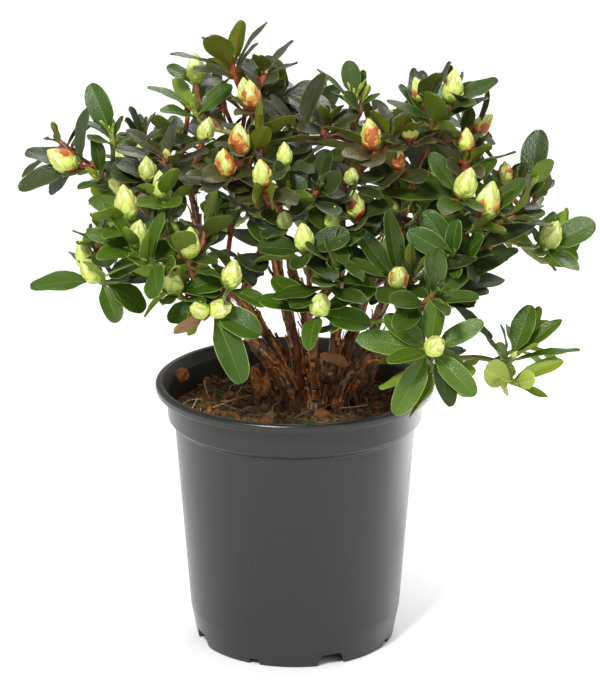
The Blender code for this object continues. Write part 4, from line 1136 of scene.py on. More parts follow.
def build_bud(build, line):
    way, side = ring_frames(line.points, line.way, line.turn)[-1]
    upright = (way + UP * BUD_UPRIGHT).normalized()
    side = way.rotation_difference(upright) @ side
    base = line.points[-1] - upright * 1.5
    chance = random.Random("bud " + line.seed)
    length, size = BUD_LENGTH * line.bud, line.bud
    shares = [step / 12 for step in range(13)]
    points = [base + upright * (share * length) for share in shares]
    radii = [max(0.12, bud_radius(share) * size * BUD_CORE) for share in shares]
    vertices, faces = tube_mesh(points, radii, 12, upright)
    build.add(vertices, faces, "bud_pale")
    upper, lower, rim = slab_faces(SCALE_ROWS, SCALE_COLUMNS)
    first = chance.uniform(0.0, math.tau)
    for rank, (scales, low, high, half_angle) in enumerate(BUD_RANKS):
        for number in range(scales):
            middle = first + rank * 0.9 + math.tau * number / scales + chance.uniform(-0.15, 0.15)
            top = high * chance.uniform(0.93, 1.0)
            stained = chance.random() < line.stain * RANK_STAIN[rank]
            rank_lift = SCALE_LIFT * (len(BUD_RANKS) - rank)
            outer, inner = [], []
            for row in range(SCALE_ROWS):
                rise = row / (SCALE_ROWS - 1)
                share = low + (top - low) * rise
                spread = math.radians(half_angle) * (1.0 - rise ** 3.0) ** 0.8 + 0.02
                centre = base + upright * (share * length)
                for column in range(SCALE_COLUMNS):
                    across = 2 * column / (SCALE_COLUMNS - 1) - 1
                    spoke = turned_about(side, upright, middle + across * spread)
                    keel = 0.25 * (1 - abs(across)) * rise
                    radius = (bud_radius(share) + rank_lift * (1 - 0.35 * across ** 2) + keel) * size
                    outer.append(centre + spoke * radius)
                    inner.append(centre + spoke * (radius - 0.35))
            slots = []
            for face in range(len(upper)):
                row, column = divmod(face // 2, SCALE_COLUMNS - 1)
                edge = column in (0, SCALE_COLUMNS - 2)
                rise = row / (SCALE_ROWS - 1)
                share = low + (top - low) * rise
                slots.append(scale_slot(outer[row * SCALE_COLUMNS + column], rise, share, edge, stained))
            slots += ["bud_blush" if stained else "bud_edge"] * (len(lower) + len(rim))
            build.add(outer + inner, upper + lower + rim, slots)


def build_buds(lines, materials):
    build = Build()
    for mass_lines in lines.values():
        for line in mass_lines:
            if line.bud:
                build_bud(build, line)
    piece = build.piece("buds", materials)


# ------------------------------------------------------------------------------- materials

def new_material(name, colour, roughness):
    material = bpy.data.materials.new(name)
    material.use_nodes = True
    tree = material.node_tree
    shader = tree.nodes["Principled BSDF"]
    shader.inputs["Base Color"].default_value = (*colour, 1.0)
    shader.inputs["Roughness"].default_value = roughness
    return material, tree, shader


def object_place(tree, scale):
    """The place on the object, in cells of the given number per metre."""
    place = tree.nodes.new("ShaderNodeTexCoord")
    mapping = tree.nodes.new("ShaderNodeMapping")
    mapping.inputs["Scale"].default_value = scale
    tree.links.new(place.outputs["Object"], mapping.inputs["Vector"])
    return mapping.outputs["Vector"]


def noise_of(tree, scale, detail=4.0, stretch=(1.0, 1.0, 1.0)):
    texture = tree.nodes.new("ShaderNodeTexNoise")
    texture.inputs["Scale"].default_value = scale
    texture.inputs["Detail"].default_value = detail
    tree.links.new(object_place(tree, stretch), texture.inputs["Vector"])
    return texture.outputs["Fac"]


def spread_roughness(tree, shader, source, low, high):
    spread = tree.nodes.new("ShaderNodeMapRange")
    spread.inputs["From Min"].default_value = 0.3
    spread.inputs["From Max"].default_value = 0.7
    spread.inputs["To Min"].default_value = low
    spread.inputs["To Max"].default_value = high
    tree.links.new(source, spread.inputs["Value"])
    tree.links.new(spread.outputs["Result"], shader.inputs["Roughness"])


def add_bump(tree, shader, height, strength, distance):
    bump = tree.nodes.new("ShaderNodeBump")
    bump.inputs["Strength"].default_value = strength
    bump.inputs["Distance"].default_value = distance
    tree.links.new(height, bump.inputs["Height"])
    if shader.inputs["Normal"].is_linked:
        tree.links.new(shader.inputs["Normal"].links[0].from_socket, bump.inputs["Normal"])
    tree.links.new(bump.outputs["Normal"], shader.inputs["Normal"])


def math_node(tree, operation, first, second=0.0):
    node = tree.nodes.new("ShaderNodeMath")
    node.operation = operation
    for socket, value in zip(node.inputs, (first, second)):
        if isinstance(value, (int, float)):
            socket.default_value = value
        else:
            tree.links.new(value, socket)
    return node.outputs["Value"]


def leaf_veins(tree):
    """Height of a leaf's face: side veins that run from the midrib forwards to the edge."""
    place = tree.nodes.new("ShaderNodeUVMap")
    place.uv_map = "leaf"
    split = tree.nodes.new("ShaderNodeSeparateXYZ")
    tree.links.new(place.outputs["UV"], split.inputs["Vector"])
    from_rib = math_node(tree, "ABSOLUTE", math_node(tree, "SUBTRACT", split.outputs["X"], 0.5))
    phase = math_node(tree, "SUBTRACT", math_node(tree, "MULTIPLY", split.outputs["Y"], 8.0),
                      math_node(tree, "MULTIPLY", from_rib, 3.4))
    ramp = math_node(tree, "PINGPONG", phase, 0.5)
    return math_node(tree, "POWER", math_node(tree, "MULTIPLY", ramp, 2.0), 0.45)


def leaf_material(name, colour, low, high, veins, sheen=0.32):
    material, tree, shader = new_material(name, colour, 0.5)
    shader.inputs["Specular IOR Level"].default_value = sheen
    spread_roughness(tree, shader, noise_of(tree, 260.0), low, high)
    cells = tree.nodes.new("ShaderNodeTexVoronoi")
    cells.inputs["Scale"].default_value = 1000.0
    tree.links.new(object_place(tree, (1.0, 1.0, 1.0)), cells.inputs["Vector"])
    add_bump(tree, shader, cells.outputs["Distance"], 0.38, 0.0005)
    if veins:
        add_bump(tree, shader, leaf_veins(tree), veins, 0.0004)
    return material


def plain_material(name, colour, low, high, bump, scale):
    """A finish with one colour, and grain in its gloss and relief."""
    material, tree, shader = new_material(name, colour, high)
    spread_roughness(tree, shader, noise_of(tree, scale), low, high)
    add_bump(tree, shader, noise_of(tree, scale * 2.2, 6.0), bump, 0.0005)
    return material


def mottled_material(name, dark, light, low, high, bump, scale, stretch=(1.0, 1.0, 1.0)):
    """A finish that shades between two colours, with relief to match."""
    material, tree, shader = new_material(name, dark, high)
    source = noise_of(tree, scale, 8.0, stretch)
    ramp = tree.nodes.new("ShaderNodeValToRGB")
    ramp.color_ramp.elements[0].position = 0.36
    ramp.color_ramp.elements[0].color = (*dark, 1.0)
    ramp.color_ramp.elements[1].position = 0.66
    ramp.color_ramp.elements[1].color = (*light, 1.0)
    tree.links.new(source, ramp.inputs["Fac"])
    tree.links.new(ramp.outputs["Color"], shader.inputs["Base Color"])
    spread_roughness(tree, shader, source, low, high)
    add_bump(tree, shader, source, bump, 0.0008)
    return material


def make_materials():
    materials = {}
    for tone, colours in TONES.items():
        for number, colour in enumerate(colours.upper):
            slot = "%s_upper_%d" % (tone, number)
            sheen = {"bronze": 0.75, "dark": 0.62, "mid": 0.46, "fresh": 0.36}.get(tone, 0.32)
            materials[slot] = leaf_material("leaf_" + slot, colour, 0.30, 0.50, 0.12, sheen)
        materials[tone + "_lower"] = leaf_material("leaf_%s_lower" % tone, colours.lower, 0.55, 0.75, 0.12)
        materials[tone + "_margin"] = leaf_material("leaf_%s_margin" % tone, colours.margin, 0.4, 0.6, 0.0)
        materials[tone + "_rib"] = leaf_material("leaf_%s_rib" % tone, colours.rib, 0.4, 0.6, 0.0)
        materials[tone + "_stalk"] = leaf_material("leaf_%s_stalk" % tone, colours.stalk, 0.4, 0.6, 0.0)
    for slot, colour in BUD_COLOURS.items():
        materials[slot] = plain_material(slot, colour, 0.40, 0.58, 0.1, 300.0)
    materials["twig_red"] = mottled_material("twig_red", srgb(104, 40, 24), srgb(164, 82, 44), 0.4, 0.6, 0.3, 260.0)
    materials["twig_brown"] = mottled_material("twig_brown", srgb(96, 62, 34), srgb(136, 92, 46), 0.5, 0.7, 0.3, 260.0)
    materials["twig_green"] = mottled_material("twig_green", srgb(112, 124, 48), srgb(146, 150, 66), 0.45, 0.6, 0.2, 260.0)
    materials["bark"] = mottled_material("bark", srgb(62, 38, 22), srgb(158, 104, 62), 0.7, 0.95, 0.9, 240.0, (1.0, 1.0, 0.22))
    materials["bark_foot"] = mottled_material("bark_foot", srgb(26, 17, 11), srgb(120, 76, 44), 0.75, 0.95, 1.0, 200.0, (1.0, 1.0, 0.4))
    materials["bark_flake"] = mottled_material("bark_flake", srgb(140, 76, 32), srgb(232, 158, 92), 0.7, 0.9, 0.6, 300.0)
    materials["bark_grey"] = mottled_material("bark_grey", srgb(92, 74, 58), srgb(192, 168, 136), 0.7, 0.95, 0.7, 300.0)
    materials["peat"] = mottled_material("peat", srgb(30, 21, 13), srgb(146, 108, 64), 0.75, 1.0, 1.0, 320.0)
    materials["crumb_dark"] = mottled_material("crumb_dark", srgb(34, 24, 14), srgb(100, 72, 44), 0.75, 1.0, 0.8, 500.0)
    materials["crumb_brown"] = mottled_material("crumb_brown", srgb(78, 50, 24), srgb(138, 98, 54), 0.7, 0.95, 0.8, 500.0)
    materials["chip"] = mottled_material("chip", srgb(92, 50, 24), srgb(164, 100, 54), 0.6, 0.9, 0.6, 260.0)
    materials["straw"] = mottled_material("straw", srgb(160, 132, 88), srgb(206, 182, 136), 0.6, 0.8, 0.3, 400.0)
    materials["moss"] = mottled_material("moss", srgb(48, 74, 26), srgb(98, 128, 52), 0.8, 1.0, 0.4, 500.0)
    materials["stone"] = mottled_material("stone", srgb(116, 98, 68), srgb(158, 136, 98), 0.6, 0.9, 0.4, 300.0)
    return materials


# ------------------------------------------------------------------------------- wood

BARK_SIDES = 14
BARK_STEP = 1.6
FLARE = 1.4               # how much wider a stem is at its very foot
FLARE_REACH = 13.0        # and how far up the flare reaches
FLAKES_PER_STEM = 40


def rooted(limb):
    """A stem's line, drawn down into the root crown, and its radii with the flare at its foot."""
    start_way = (limb.points[1] - limb.points[0]).normalized()
    is_stem = limb.name.startswith("stem_")
    points = smooth_line(([limb.points[0] - UP * 7.0] if is_stem else []) + list(limb.points), BARK_STEP)
    count = len(points) - 1
    radii = taper(limb.radii[0], limb.radii[-1], count)
    if is_stem:
        for number, point in enumerate(points):
            up = (point - limb.points[0]).length if point.z > limb.points[0].z else 0.0
            radii[number] *= 1.0 + (FLARE - 1.0) * math.exp(-(up / FLARE_REACH) ** 2)
    return points, radii, start_way


def wander(points, seed, size):
    """The line with a slow wander, none at its ends."""
    count = len(points) - 1
    moved = []
    for number, point in enumerate(points):
        ease = math.sin(math.pi * number / count)
        drift = noise.noise_vector(point * 0.045 + UP * seed)
        moved.append(point + drift * (size * ease))
    return moved


def build_limbs(limbs, materials):
    build = Build()
    flakes = random.Random("flakes")
    for number, (name, limb) in enumerate(limbs.items()):
        points, radii, way = rooted(limb)
        green = name == "right_foot"
        points = wander(points, number * 3.7, 2.2)
        rough = 0.05 if green else 0.22
        vertices, faces = tube_mesh(points, radii, BARK_SIDES, way, 0.0, rough, number * 5.1)
        build.add(vertices, faces, "twig_green" if green else "bark")
        if not green:
            for flake in range(FLAKES_PER_STEM):
                add_flake(build, points, radii, way, flakes)
    build_stubs(build, flakes)
    piece = build.piece("stems_and_boughs", materials)
    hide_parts(*(limb.name for limb in limbs.values()))


# Broken stubs beside the stems: foot, top, and how thick at the foot
BROKEN_STUBS = (((39.0, 12.0, 150.0), (55.0, 9.0, 182.0), 3.6), ((33.0, 16.0, 150.0), (44.0, 15.0, 176.0), 3.2),
                ((-14.0, 12.0, 149.0), (-24.0, 14.0, 168.0), 3.0), ((26.0, -12.0, 150.0), (30.0, -16.0, 172.0), 3.0))
# A dry leaf caught among the stems: its stalk's foot and its tip
DRY_LEAF = ((36.0, -12.0, 175.5), (15.5, -13.0, 184.0))
DRY_LEAF_WIDTH = 9.0


def build_stubs(build, chance):
    for number, (foot, top, radius) in enumerate(BROKEN_STUBS):
        foot, top = Vector(foot), Vector(top)
        points = wander(smooth_line([foot, foot.lerp(top, 0.5), top], BARK_STEP), number * 2.3, 2.0)
        way = (top - foot).normalized()
        radii = taper(radius, radius * 0.8, len(points) - 1)
        vertices, faces = tube_mesh(points, radii, BARK_SIDES, way, 0.0, 0.3, number * 4.7)
        build.add(vertices, faces, "bark")
        for flake in range(12):
            add_flake(build, points, radii, way, chance)


def add_flake(build, points, radii, way, chance):
    """A strip of loose bark on a limb, held along its middle and curled off at one end."""
    rows, columns = 8, 3
    place = int(0.8 * chance.random() ** 1.7 * (len(points) - 8))
    length = chance.randrange(6, 14)
    frames = ring_frames(points, way, 0.0)
    angle = chance.uniform(0, math.tau)
    half_angle = chance.uniform(0.12, 0.36)
    curl = chance.uniform(0.4, 3.0)
    outer, inner = [], []
    for row in range(rows):
        share = row / (rows - 1)
        at = min(len(points) - 1, place + int(share * length))
        along, side = frames[at]
        for column in range(columns):
            turn = angle + half_angle * (column - 1) * (1.1 - 0.5 * share) + 0.15 * share
            spoke = turned_about(side, along, turn)
            lift = radii[at] * 1.12 + curl * share ** 3
            outer.append(points[at] + spoke * (lift + 0.25))
            inner.append(points[at] + spoke * (lift - 0.15))
    upper, lower, rim = slab_faces(rows, columns)
    kind = chance.random()
    slot = "bark_flake" if kind < 0.45 else "bark" if kind < 0.78 else "bark_grey"
    build.add(outer + inner, upper + lower + rim, slot)


STUBS = 11
KNOTS = 18


def build_root_crown(limbs, materials):
    """The gnarled knot: a mound with stem feet, dead stubs and burls, melted into one skin."""
    chance = random.Random("root crown")
    build = Build()
    shares = [step / 6 for step in range(7)]
    for knot in range(KNOTS):
        bearing = chance.uniform(0, math.tau)
        share = chance.uniform(0.0, 0.86) ** 0.6
        size = chance.uniform(4.0, 7.5)
        middle = Vector((CROWN_CENTRE[0] + (CROWN_HALF_WIDTH - size) * share * math.cos(bearing),
                         CROWN_CENTRE[1] + (CROWN_HALF_DEPTH - size) * share * math.sin(bearing),
                         PEAT_CROWN_HEIGHT + chance.uniform(-2.0, 4.5)))
        points = [middle + UP * (size * 2 * (step - 0.5)) for step in shares]
        radii = [max(0.2, size * math.sin(math.pi * (0.03 + 0.94 * step)) ** 0.6) for step in shares]
        vertices, faces = tube_mesh(points, radii, 10, UP)
        build.add(vertices, faces, "bark_foot")
    for stub in range(STUBS):
        bearing = math.tau * stub / STUBS + chance.uniform(-0.2, 0.2)
        share = chance.uniform(0.35, 0.8)
        foot = Vector((CROWN_CENTRE[0] + CROWN_HALF_WIDTH * share * math.cos(bearing),
                       CROWN_CENTRE[1] + CROWN_HALF_DEPTH * share * math.sin(bearing),
                       PEAT_CROWN_HEIGHT + 2.0))
        lean = Vector((math.cos(bearing) * 0.5, math.sin(bearing) * 0.5, 1.0)).normalized()
        tall = chance.uniform(9.0, 19.0)
        radius = chance.uniform(2.6, 4.2)
        points = [foot + lean * (tall * step) for step in shares]
        vertices, faces = tube_mesh(points, taper(radius * 1.5, radius, len(shares) - 1), 10, lean)
        build.add(vertices, faces, "bark_foot")
    for limb in limbs.values():
        if limb.name.startswith("stem_"):
            points, radii, way = rooted(limb)
            count = int((FLARE_REACH + 9.0) / BARK_STEP)
            vertices, faces = tube_mesh(points[:count], radii[:count], 12, way)
            build.add(vertices, faces, "bark_foot")
    piece = build.piece("root_crown", materials)
    melt = piece.modifiers.new("Melt", "REMESH")
    melt.mode = "VOXEL"
    melt.voxel_size = 0.8 * MM
    soften = piece.modifiers.new("Soften", "SMOOTH")
    soften.iterations = 2
    apply_modifiers(piece)
    relief(piece, 1.0)
    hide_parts("trunk_root_crown")


def apply_modifiers(piece):
    depsgraph = bpy.context.evaluated_depsgraph_get()
    mesh = bpy.data.meshes.new_from_object(piece.evaluated_get(depsgraph))
    piece.modifiers.clear()
    piece.data = mesh


def relief(piece, size):
    """Fibrous ridges that run up the bark."""
    mesh = piece.data
    for vertex in mesh.vertices:
        spot = vertex.co / MM
        ridge = noise.noise(Vector((spot.x * 0.6, spot.y * 0.6, spot.z * 0.12)))
        fine = noise.noise(spot * 0.9)
        vertex.co += vertex.normal * ((ridge * 1.7 + fine * 0.7) * size * MM)
    mesh.shade_smooth()


# ------------------------------------------------------------------------------- pot and peat

POT_SIDES = 144
# inner wall above this height gets the lighter plastic: painted light inside the rim
FLOOR_OF_INNER_WALL = 100.0


def pad_profile(height, shift):
    return [(PAD_RADIUS + shift, height), (PAD_RADIUS + PAD_SLOPE + shift, height + RECESS_HEIGHT)]


def rounded(profile, size):
    """A profile whose corners are cut back by up to size, so that its edges catch the light."""
    result = [profile[0]]
    for (ax, az), (bx, bz), (cx, cz) in zip(profile, profile[1:], profile[2:]):
        for (px, pz), share in (((ax, az), 1.0), ((ax, az), 0.33), ((cx, cz), 0.33), ((cx, cz), 1.0)):
            span = math.hypot(px - bx, pz - bz)
            cut = min(size, span * 0.4) * share
            pull = 0.0 if share == 1.0 else 0.12 * size
            x = bx + (px - bx) / span * cut
            z = bz + (pz - bz) / span * cut
            middle_x, middle_z = (ax + cx) / 2 - bx, (az + cz) / 2 - bz
            reach = math.hypot(middle_x, middle_z) or 1.0
            result.append((x + middle_x / reach * pull, z + middle_z / reach * pull))
    return result + [profile[-1]]


def turned_mesh(profile, sides):
    vertices = []
    for radius, height in profile:
        for side in range(sides):
            angle = math.tau * side / sides
            vertices.append((radius * math.cos(angle), radius * math.sin(angle), height))
    faces = [tuple(range(sides))[::-1], tuple(range((len(profile) - 1) * sides, len(profile) * sides))]
    for ring in range(len(profile) - 1):
        for side in range(sides):
            a = ring * sides + side
            b = ring * sides + (side + 1) % sides
            faces.append((a, b, b + sides, a + sides))
    return vertices, faces


def pot_material(name, colour, low, high):
    """Satin charcoal plastic: a fine moulded grain, faint turning rings and a few dull patches."""
    material, tree, shader = new_material(name, colour, high)
    shader.inputs["Specular IOR Level"].default_value = 0.5
    spread_roughness(tree, shader, noise_of(tree, 24.0, 5.0), low, high)
    add_bump(tree, shader, noise_of(tree, 1400.0, 2.0), 0.12, 0.0003)
    add_bump(tree, shader, noise_of(tree, 60.0, 3.0, (0.05, 0.05, 4.0)), 0.10, 0.0004)
    return material


def build_pot():
    lip_foot = POT_HEIGHT - LIP_DEPTH
    profile = pad_profile(0.0, 0.0) + [(FOOT_INNER_RADIUS, RECESS_HEIGHT), (FOOT_INNER_RADIUS, 0.0)]
    profile += [
        (BASE_RADIUS, 0.0), (FOOT_RADIUS, FOOT_STEP_HEIGHT - 5.0),
        (FOOT_STEP_RADIUS, FOOT_STEP_HEIGHT + 2.0), (BODY_TOP_RADIUS, BODY_TOP_HEIGHT),
        (COLLAR_FOOT_RADIUS, COLLAR_FOOT_HEIGHT), (COLLAR_RADIUS, lip_foot), (LIP_RADIUS - 0.6, lip_foot),
        (LIP_RADIUS, POT_HEIGHT - 1.4), (LIP_RADIUS - 1.3, POT_HEIGHT),
        (LIP_INNER_RADIUS, POT_HEIGHT), (COLLAR_RADIUS - WALL, lip_foot - 1.0),
        (COLLAR_FOOT_RADIUS - WALL, COLLAR_FOOT_HEIGHT),
        (BODY_TOP_RADIUS - WALL, BODY_TOP_HEIGHT), (INNER_FLOOR_RADIUS, FLOOR + RECESS_HEIGHT),
    ]
    profile += pad_profile(FLOOR, -WALL)[::-1]
    vertices, faces = turned_mesh(rounded(profile, 1.0), POT_SIDES)
    mesh = bpy.data.meshes.new("pot_shell")
    mesh.from_pydata([Vector(v) * MM for v in vertices], [], faces)
    mesh.materials.append(pot_material("pot_plastic", srgb(34, 33, 32), 0.22, 0.31))
    # a lighter copy of the same plastic for the inner wall: painted light that lifts the shade inside the rim
    mesh.materials.append(pot_material("pot_inner", srgb(58, 56, 54), 0.36, 0.5))
    mesh.validate()
    pot = bpy.data.objects.new("pot_shell", mesh)
    bpy.context.scene.collection.objects.link(pot)
    shape = bmesh.new()
    shape.from_mesh(mesh)
    bmesh.ops.recalc_face_normals(shape, faces=shape.faces)
    shape.to_mesh(mesh)
    shape.free()
    cutters = []
    for number in range(NOTCHES):
        mouth, top, height = WIDE_NOTCH if number % 2 == 0 else NARROW_NOTCH
        bearing = math.radians(FIRST_NOTCH_BEARING + number * 360.0 / NOTCHES)
        cutter = notch_cutter("notch_%d" % number, mouth, top, height, bearing)
        boolean = pot.modifiers.new("Notch %d" % number, "BOOLEAN")
        boolean.operation = "DIFFERENCE"
        boolean.object = cutter
        cutters.append(cutter)
    apply_modifiers(pot)
    for cutter in cutters:
        bpy.data.objects.remove(cutter)
    # inward faces high on the wall take that lighter copy: painted light inside the pot's rim
    for face in pot.data.polygons:
        x, y, z = face.center
        inward = face.normal.x * x + face.normal.y * y < 0.0
        if inward and z > FLOOR_OF_INNER_WALL * MM:
            face.material_index = 1
    pot.data.shade_smooth()
    pot.data.set_sharp_from_angle(angle=math.radians(40))
    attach(pot, "root")
    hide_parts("pot")


def notch_cutter(name, mouth, top, height, bearing):
    """A wedge with a flat top and slanted sides that reaches in from outside the pot's foot."""
    below = 1.0
    foot = mouth / 2 + (mouth - top) / 2 / height * below
    section = ((-foot, -below), (foot, -below), (top / 2, height), (-top / 2, height))
    vertices = []
    for radius in (NOTCH_INNER_RADIUS, LIP_RADIUS):
        for across, up in section:
            x = radius * math.cos(bearing) - across * math.sin(bearing)
            y = radius * math.sin(bearing) + across * math.cos(bearing)
            vertices.append(Vector((x, y, up)) * MM)
    faces = [(0, 1, 2, 3), (7, 6, 5, 4), (0, 4, 5, 1), (1, 5, 6, 2), (2, 6, 7, 3), (3, 7, 4, 0)]
    mesh = bpy.data.meshes.new(name)
    mesh.from_pydata(vertices, [], faces)
    shape = bmesh.new()
    shape.from_mesh(mesh)
    bmesh.ops.recalc_face_normals(shape, faces=shape.faces)
    shape.to_mesh(mesh)
    shape.free()
    cutter = bpy.data.objects.new(name, mesh)
    bpy.context.scene.collection.objects.link(cutter)
    return cutter


PEAT_RINGS = 62
PEAT_SPOKES = 240
PEAT_RADIUS = 75.0


def peat_height(x, y):
    """The peat's surface: crumbly, high round the stems and low at the wall."""
    across = math.hypot(x, y)
    slope = min(max((across - PEAT_CROWN_RADIUS) / (PEAT_RADIUS - PEAT_CROWN_RADIUS), 0.0), 1.0)
    height = PEAT_CROWN_HEIGHT + (PEAT_EDGE_HEIGHT - PEAT_CROWN_HEIGHT) * slope
    spot = Vector((x, y, 0.0))
    height += 1.5 * noise.noise(spot * 0.07) + 1.2 * noise.noise(spot * 0.22) + 0.7 * noise.noise(spot * 0.6)
    return height - 0.6


def build_peat(materials):
    """Peat fills the pot; only its top is rough."""
    build = Build()
    vertices = [(0.0, 0.0, peat_height(0.0, 0.0))]
    faces = []
    for ring in range(1, PEAT_RINGS + 1):
        radius = PEAT_RADIUS * (ring / PEAT_RINGS)
        for spoke in range(PEAT_SPOKES):
            angle = math.tau * spoke / PEAT_SPOKES
            x, y = radius * math.cos(angle), radius * math.sin(angle)
            vertices.append((x, y, peat_height(x, y)))
    for spoke in range(PEAT_SPOKES):
        faces.append((0, 1 + spoke, 1 + (spoke + 1) % PEAT_SPOKES))
    outside = [(PEAT_RADIUS, COLLAR_FOOT_HEIGHT), (BODY_TOP_RADIUS - WALL - 1.0, BODY_TOP_HEIGHT - 2.0),
               (INNER_FLOOR_RADIUS - 1.0, FLOOR + RECESS_HEIGHT + 1.0)]
    for radius, height in outside:
        for spoke in range(PEAT_SPOKES):
            angle = math.tau * spoke / PEAT_SPOKES
            vertices.append((radius * math.cos(angle), radius * math.sin(angle), height))
    rings = PEAT_RINGS + len(outside)
    for ring in range(rings - 1):
        for spoke in range(PEAT_SPOKES):
            a = 1 + ring * PEAT_SPOKES + spoke
            b = 1 + ring * PEAT_SPOKES + (spoke + 1) % PEAT_SPOKES
            faces.append((a, a + PEAT_SPOKES, b + PEAT_SPOKES, b))
    last = 1 + (rings - 1) * PEAT_SPOKES
    faces.append(tuple(range(last, last + PEAT_SPOKES))[::-1])
    build.add(vertices, faces, "peat")
    piece = build.piece("peat_fill", materials)
    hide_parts("peat")


def lump(middle, sizes, turn, seed, sides=7, rings=5):
    """A small uneven lump: a few rings round an upright axis, pushed about by noise, then turned."""
    vertices, faces = [], []
    for ring in range(rings):
        rise = math.pi * (ring + 0.5) / rings
        for side in range(sides):
            angle = math.tau * side / sides
            spot = Vector((math.sin(rise) * math.cos(angle), math.sin(rise) * math.sin(angle), -math.cos(rise)))
            spot *= 1.0 + 0.35 * noise.noise(spot * 1.7 + UP * seed)
            spot = Vector((spot.x * sizes[0], spot.y * sizes[1], spot.z * sizes[2]))
            vertices.append(middle + turn @ spot)
    for ring in range(rings - 1):
        for side in range(sides):
            a = ring * sides + side
            b = ring * sides + (side + 1) % sides
            faces.append((a, b, b + sides, a + sides))
    faces.append(tuple(range(sides))[::-1])
    faces.append(tuple(range((rings - 1) * sides, rings * sides)))
    return vertices, faces


CRUMBS = 1500
CHIPS = 80
STRAWS = 46
MOSS_TUFTS = 26


def on_peat(chance, inner=0.0, outer=71.0):
    """A random spot on the peat's surface."""
    across = math.sqrt(chance.uniform(inner ** 2, outer ** 2))
    angle = chance.uniform(0, math.tau)
    x, y = across * math.cos(angle), across * math.sin(angle)
    return Vector((x, y, peat_height(x, y)))


def random_turn(chance):
    axis = Vector((chance.gauss(0, 1), chance.gauss(0, 1), chance.gauss(0, 1))).normalized()
    return Quaternion(axis, chance.uniform(0, math.tau))


# Larger things on the peat: finish, middle, half sizes, and turn about X, Y and Z in degrees
LAID = (
    ("bark_flake", (-22.5, 9.0, 157.5), (3.8, 1.3, 11.0), (-12, -14, 8)),
    ("bark_flake", (-18.0, 9.5, 157.0), (3.6, 1.2, 10.0), (-10, 16, -12)),
    ("chip", (17.0, -25.0, 150.0), (5.5, 1.2, 3.6), (-50, 10, 20)),
    ("bark_flake", (-69.2, 25.2, 158.3), (4.4, 0.8, 4.6), (0, 0, 18)),
    ("chip", (-41.0, 11.0, 149.5), (5.0, 3.0, 1.2), (20, -20, 40)),
    ("stone", (-14.0, -24.0, 148.6), (4.2, 3.6, 2.8), (0, 10, 0)),
    ("stone", (-4.0, -27.0, 148.4), (2.5, 2.2, 2.0), (10, 0, 30)),
)
LAID_STRAWS = (((-56.0, 39.0, 149.4), (-55.4, 24.0, 151.0), (-53.0, 9.0, 149.6)),
               ((-50.0, -10.0, 149.2), (-38.0, -2.0, 151.2), (-27.0, 9.0, 150.4)))


def build_crumbs(materials):
    """Loose crumbs of peat and bark, chips of bark, pale straws and moss on the peat."""
    chance = random.Random("crumbs")
    build = Build()
    for number in range(CRUMBS):
        size = chance.uniform(0.7, 2.3) * chance.uniform(0.6, 1.0)
        spot = on_peat(chance) + UP * (size * 0.2)
        sizes = (size, size * chance.uniform(0.5, 1.0), size * chance.uniform(0.4, 0.9))
        vertices, faces = lump(spot, sizes, random_turn(chance), number * 1.3, 6, 4)
        build.add(vertices, faces, "crumb_dark" if chance.random() < 0.72 else "crumb_brown")
    for number in range(CHIPS):
        size = chance.uniform(2.4, 5.4)
        spot = on_peat(chance) + UP * 0.8
        sizes = (size, size * chance.uniform(0.45, 0.8), size * 0.2)
        vertices, faces = lump(spot, sizes, random_turn(chance), number * 2.1, 7, 4)
        build.add(vertices, faces, "chip" if chance.random() < 0.55 else "crumb_brown")
    for number, (slot, middle, sizes, angles) in enumerate(LAID):
        turn = Euler([math.radians(angle) for angle in angles]).to_quaternion()
        vertices, faces = lump(Vector(middle), sizes, turn, number * 3.3, 9, 6)
        build.add(vertices, faces, slot)
    piece = build.piece("peat_crumbs", materials, smooth=False)
    build = Build()
    for number in range(STRAWS):
        spot = on_peat(chance) + UP * 1.6
        angle = chance.uniform(0, math.tau)
        half = chance.uniform(4.0, 14.0)
        way = Vector((math.cos(angle), math.sin(angle), chance.uniform(-0.1, 0.25))).normalized()
        bend = square_to(way) * chance.uniform(-3.0, 3.0)
        line = [spot - way * half, spot + bend + UP * 0.6, spot + way * half]
        line = [Vector((p.x, p.y, max(p.z, peat_height(p.x, p.y) + 0.5))) for p in line]
        if max(math.hypot(p.x, p.y) for p in line) > 72:
            continue
        points = smooth_line(line, 2.0)
        radius = chance.uniform(0.25, 0.6)
        vertices, faces = tube_mesh(points, taper(radius, radius * 0.6, len(points) - 1), 5, way)
        build.add(vertices, faces, "straw" if chance.random() < 0.7 else "crumb_brown")
    for line in LAID_STRAWS:
        points = smooth_line([Vector(point) for point in line], 2.0)
        vertices, faces = tube_mesh(points, taper(0.6, 0.35, len(points) - 1), 5, points[1] - points[0])
        build.add(vertices, faces, "straw")
    for tuft in range(MOSS_TUFTS):
        middle = on_peat(chance, 30.0, 70.0)
        for blade in range(26):
            angle = chance.uniform(0, math.tau)
            reach = chance.uniform(0, 3.4)
            x, y = middle.x + reach * math.cos(angle), middle.y + reach * math.sin(angle)
            foot = Vector((x, y, peat_height(x, y) - 0.2))
            lean = Vector((chance.uniform(-0.6, 0.6), chance.uniform(-0.6, 0.6), 1.0)).normalized()
            points = [foot, foot + lean * 1.3, foot + lean * 2.6]
            vertices, faces = tube_mesh(points, [0.42, 0.36, 0.08], 4, lean)
            build.add(vertices, faces, "moss")
    piece = build.piece("straw_and_moss", materials)


# ------------------------------------------------------------------------------- camera, floor, light

PIXELS_PER_MM = 1.652     # at the target
PICTURE_HEIGHT = 683
SENSOR_HEIGHT = 24.0


def build_camera():
    data = bpy.data.cameras.new("camera")
    data.sensor_fit = "VERTICAL"
    data.sensor_height = SENSOR_HEIGHT
    data.lens = SENSOR_HEIGHT * PIXELS_PER_MM * CAMERA_DISTANCE / PICTURE_HEIGHT
    camera = bpy.data.objects.new("camera", data)
    bpy.context.scene.collection.objects.link(camera)
    camera.location = EYE * MM
    camera.rotation_euler = (math.radians(90.0) - CAMERA_RISE, 0.0, 0.0)
    bpy.context.scene.camera = camera


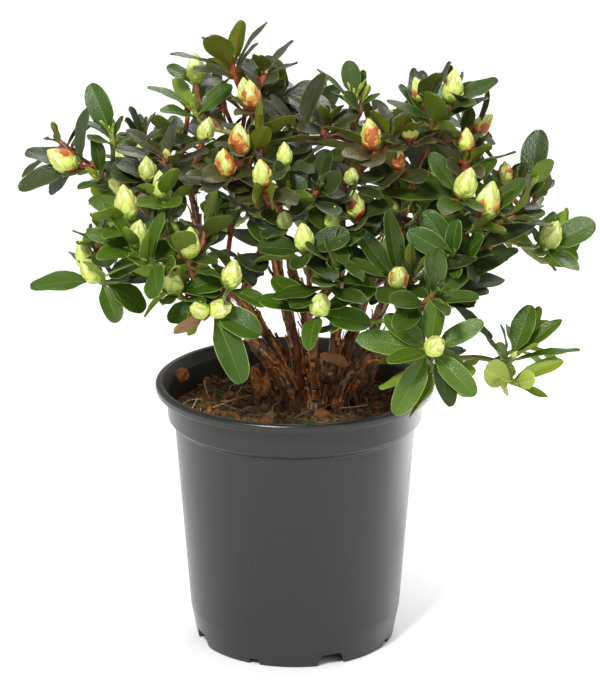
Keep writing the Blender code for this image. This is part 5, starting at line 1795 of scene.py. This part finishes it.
def build_floor():
    mesh = bpy.data.meshes.new("floor")
    sides = 64
    radius = 9.0
    vertices = [(radius * math.cos(math.tau * n / sides), radius * math.sin(math.tau * n / sides), 0.0)
                for n in range(sides)]
    mesh.from_pydata(vertices, [], [tuple(range(sides))])
    material, tree, shader = new_material("floor", (0.90, 0.90, 0.90), 0.9)
    add_bump(tree, shader, noise_of(tree, 3.0), 0.02, 0.001)
    mesh.materials.append(material)
    floor = bpy.data.objects.new("floor", mesh)
    bpy.context.scene.collection.objects.link(floor)


def area_light(name, place, target, size, power, colour=(1.0, 1.0, 1.0)):
    data = bpy.data.lights.new(name, "AREA")
    data.shape = "RECTANGLE"
    data.size, data.size_y = size
    data.energy = power
    data.color = colour
    light = bpy.data.objects.new(name, data)
    light.location = place
    light.rotation_euler = (Vector(target) - Vector(place)).to_track_quat("-Z", "Y").to_euler()
    bpy.context.scene.collection.objects.link(light)


def build_light():
    """A bright studio: soft light from the upper left, a fill from the right, a rim light from behind, and a low lamp
    over the floor at each side of the pot.
    """
    world = bpy.data.worlds.new("studio")
    world.use_nodes = True
    world.node_tree.nodes["Background"].inputs["Color"].default_value = (1.0, 1.0, 1.0, 1.0)
    world.node_tree.nodes["Background"].inputs["Strength"].default_value = 0.55
    bpy.context.scene.world = world
    crown = (0.0, 0.0, 0.25)
    area_light("key", (-0.75, -1.65, 2.05), crown, (0.5, 0.5), 65.0)
    area_light("fill", (1.5, -1.5, 1.1), crown, (1.2, 1.2), 8.0)
    area_light("rim", (0.4, 1.6, 1.8), crown, (1.2, 0.8), 22.0)
    for name, x, power in (("floor_left", -0.38, 0.2), ("floor_right", 0.36, 1.6)):
        area_light(name, (x, 0.28, 0.16), (x, 0.28, 0.0), (0.34, 0.4), power)
    bpy.context.scene.view_settings.view_transform = "Standard"


def main():
    build_camera()
    materials = make_materials()
    build_pot()
    build_peat(materials)
    build_crumbs(materials)
    limbs = grow_limbs()
    build_root_crown(limbs, materials)
    build_limbs(limbs, materials)
    lines, leaves = grow_crown(limbs)
    build_twigs(lines, materials)
    build_buds(lines, materials)
    for mass in MASSES:
        build_leaves(mass, leaves[mass.name], materials)
    build_floor()
    build_light()


main()
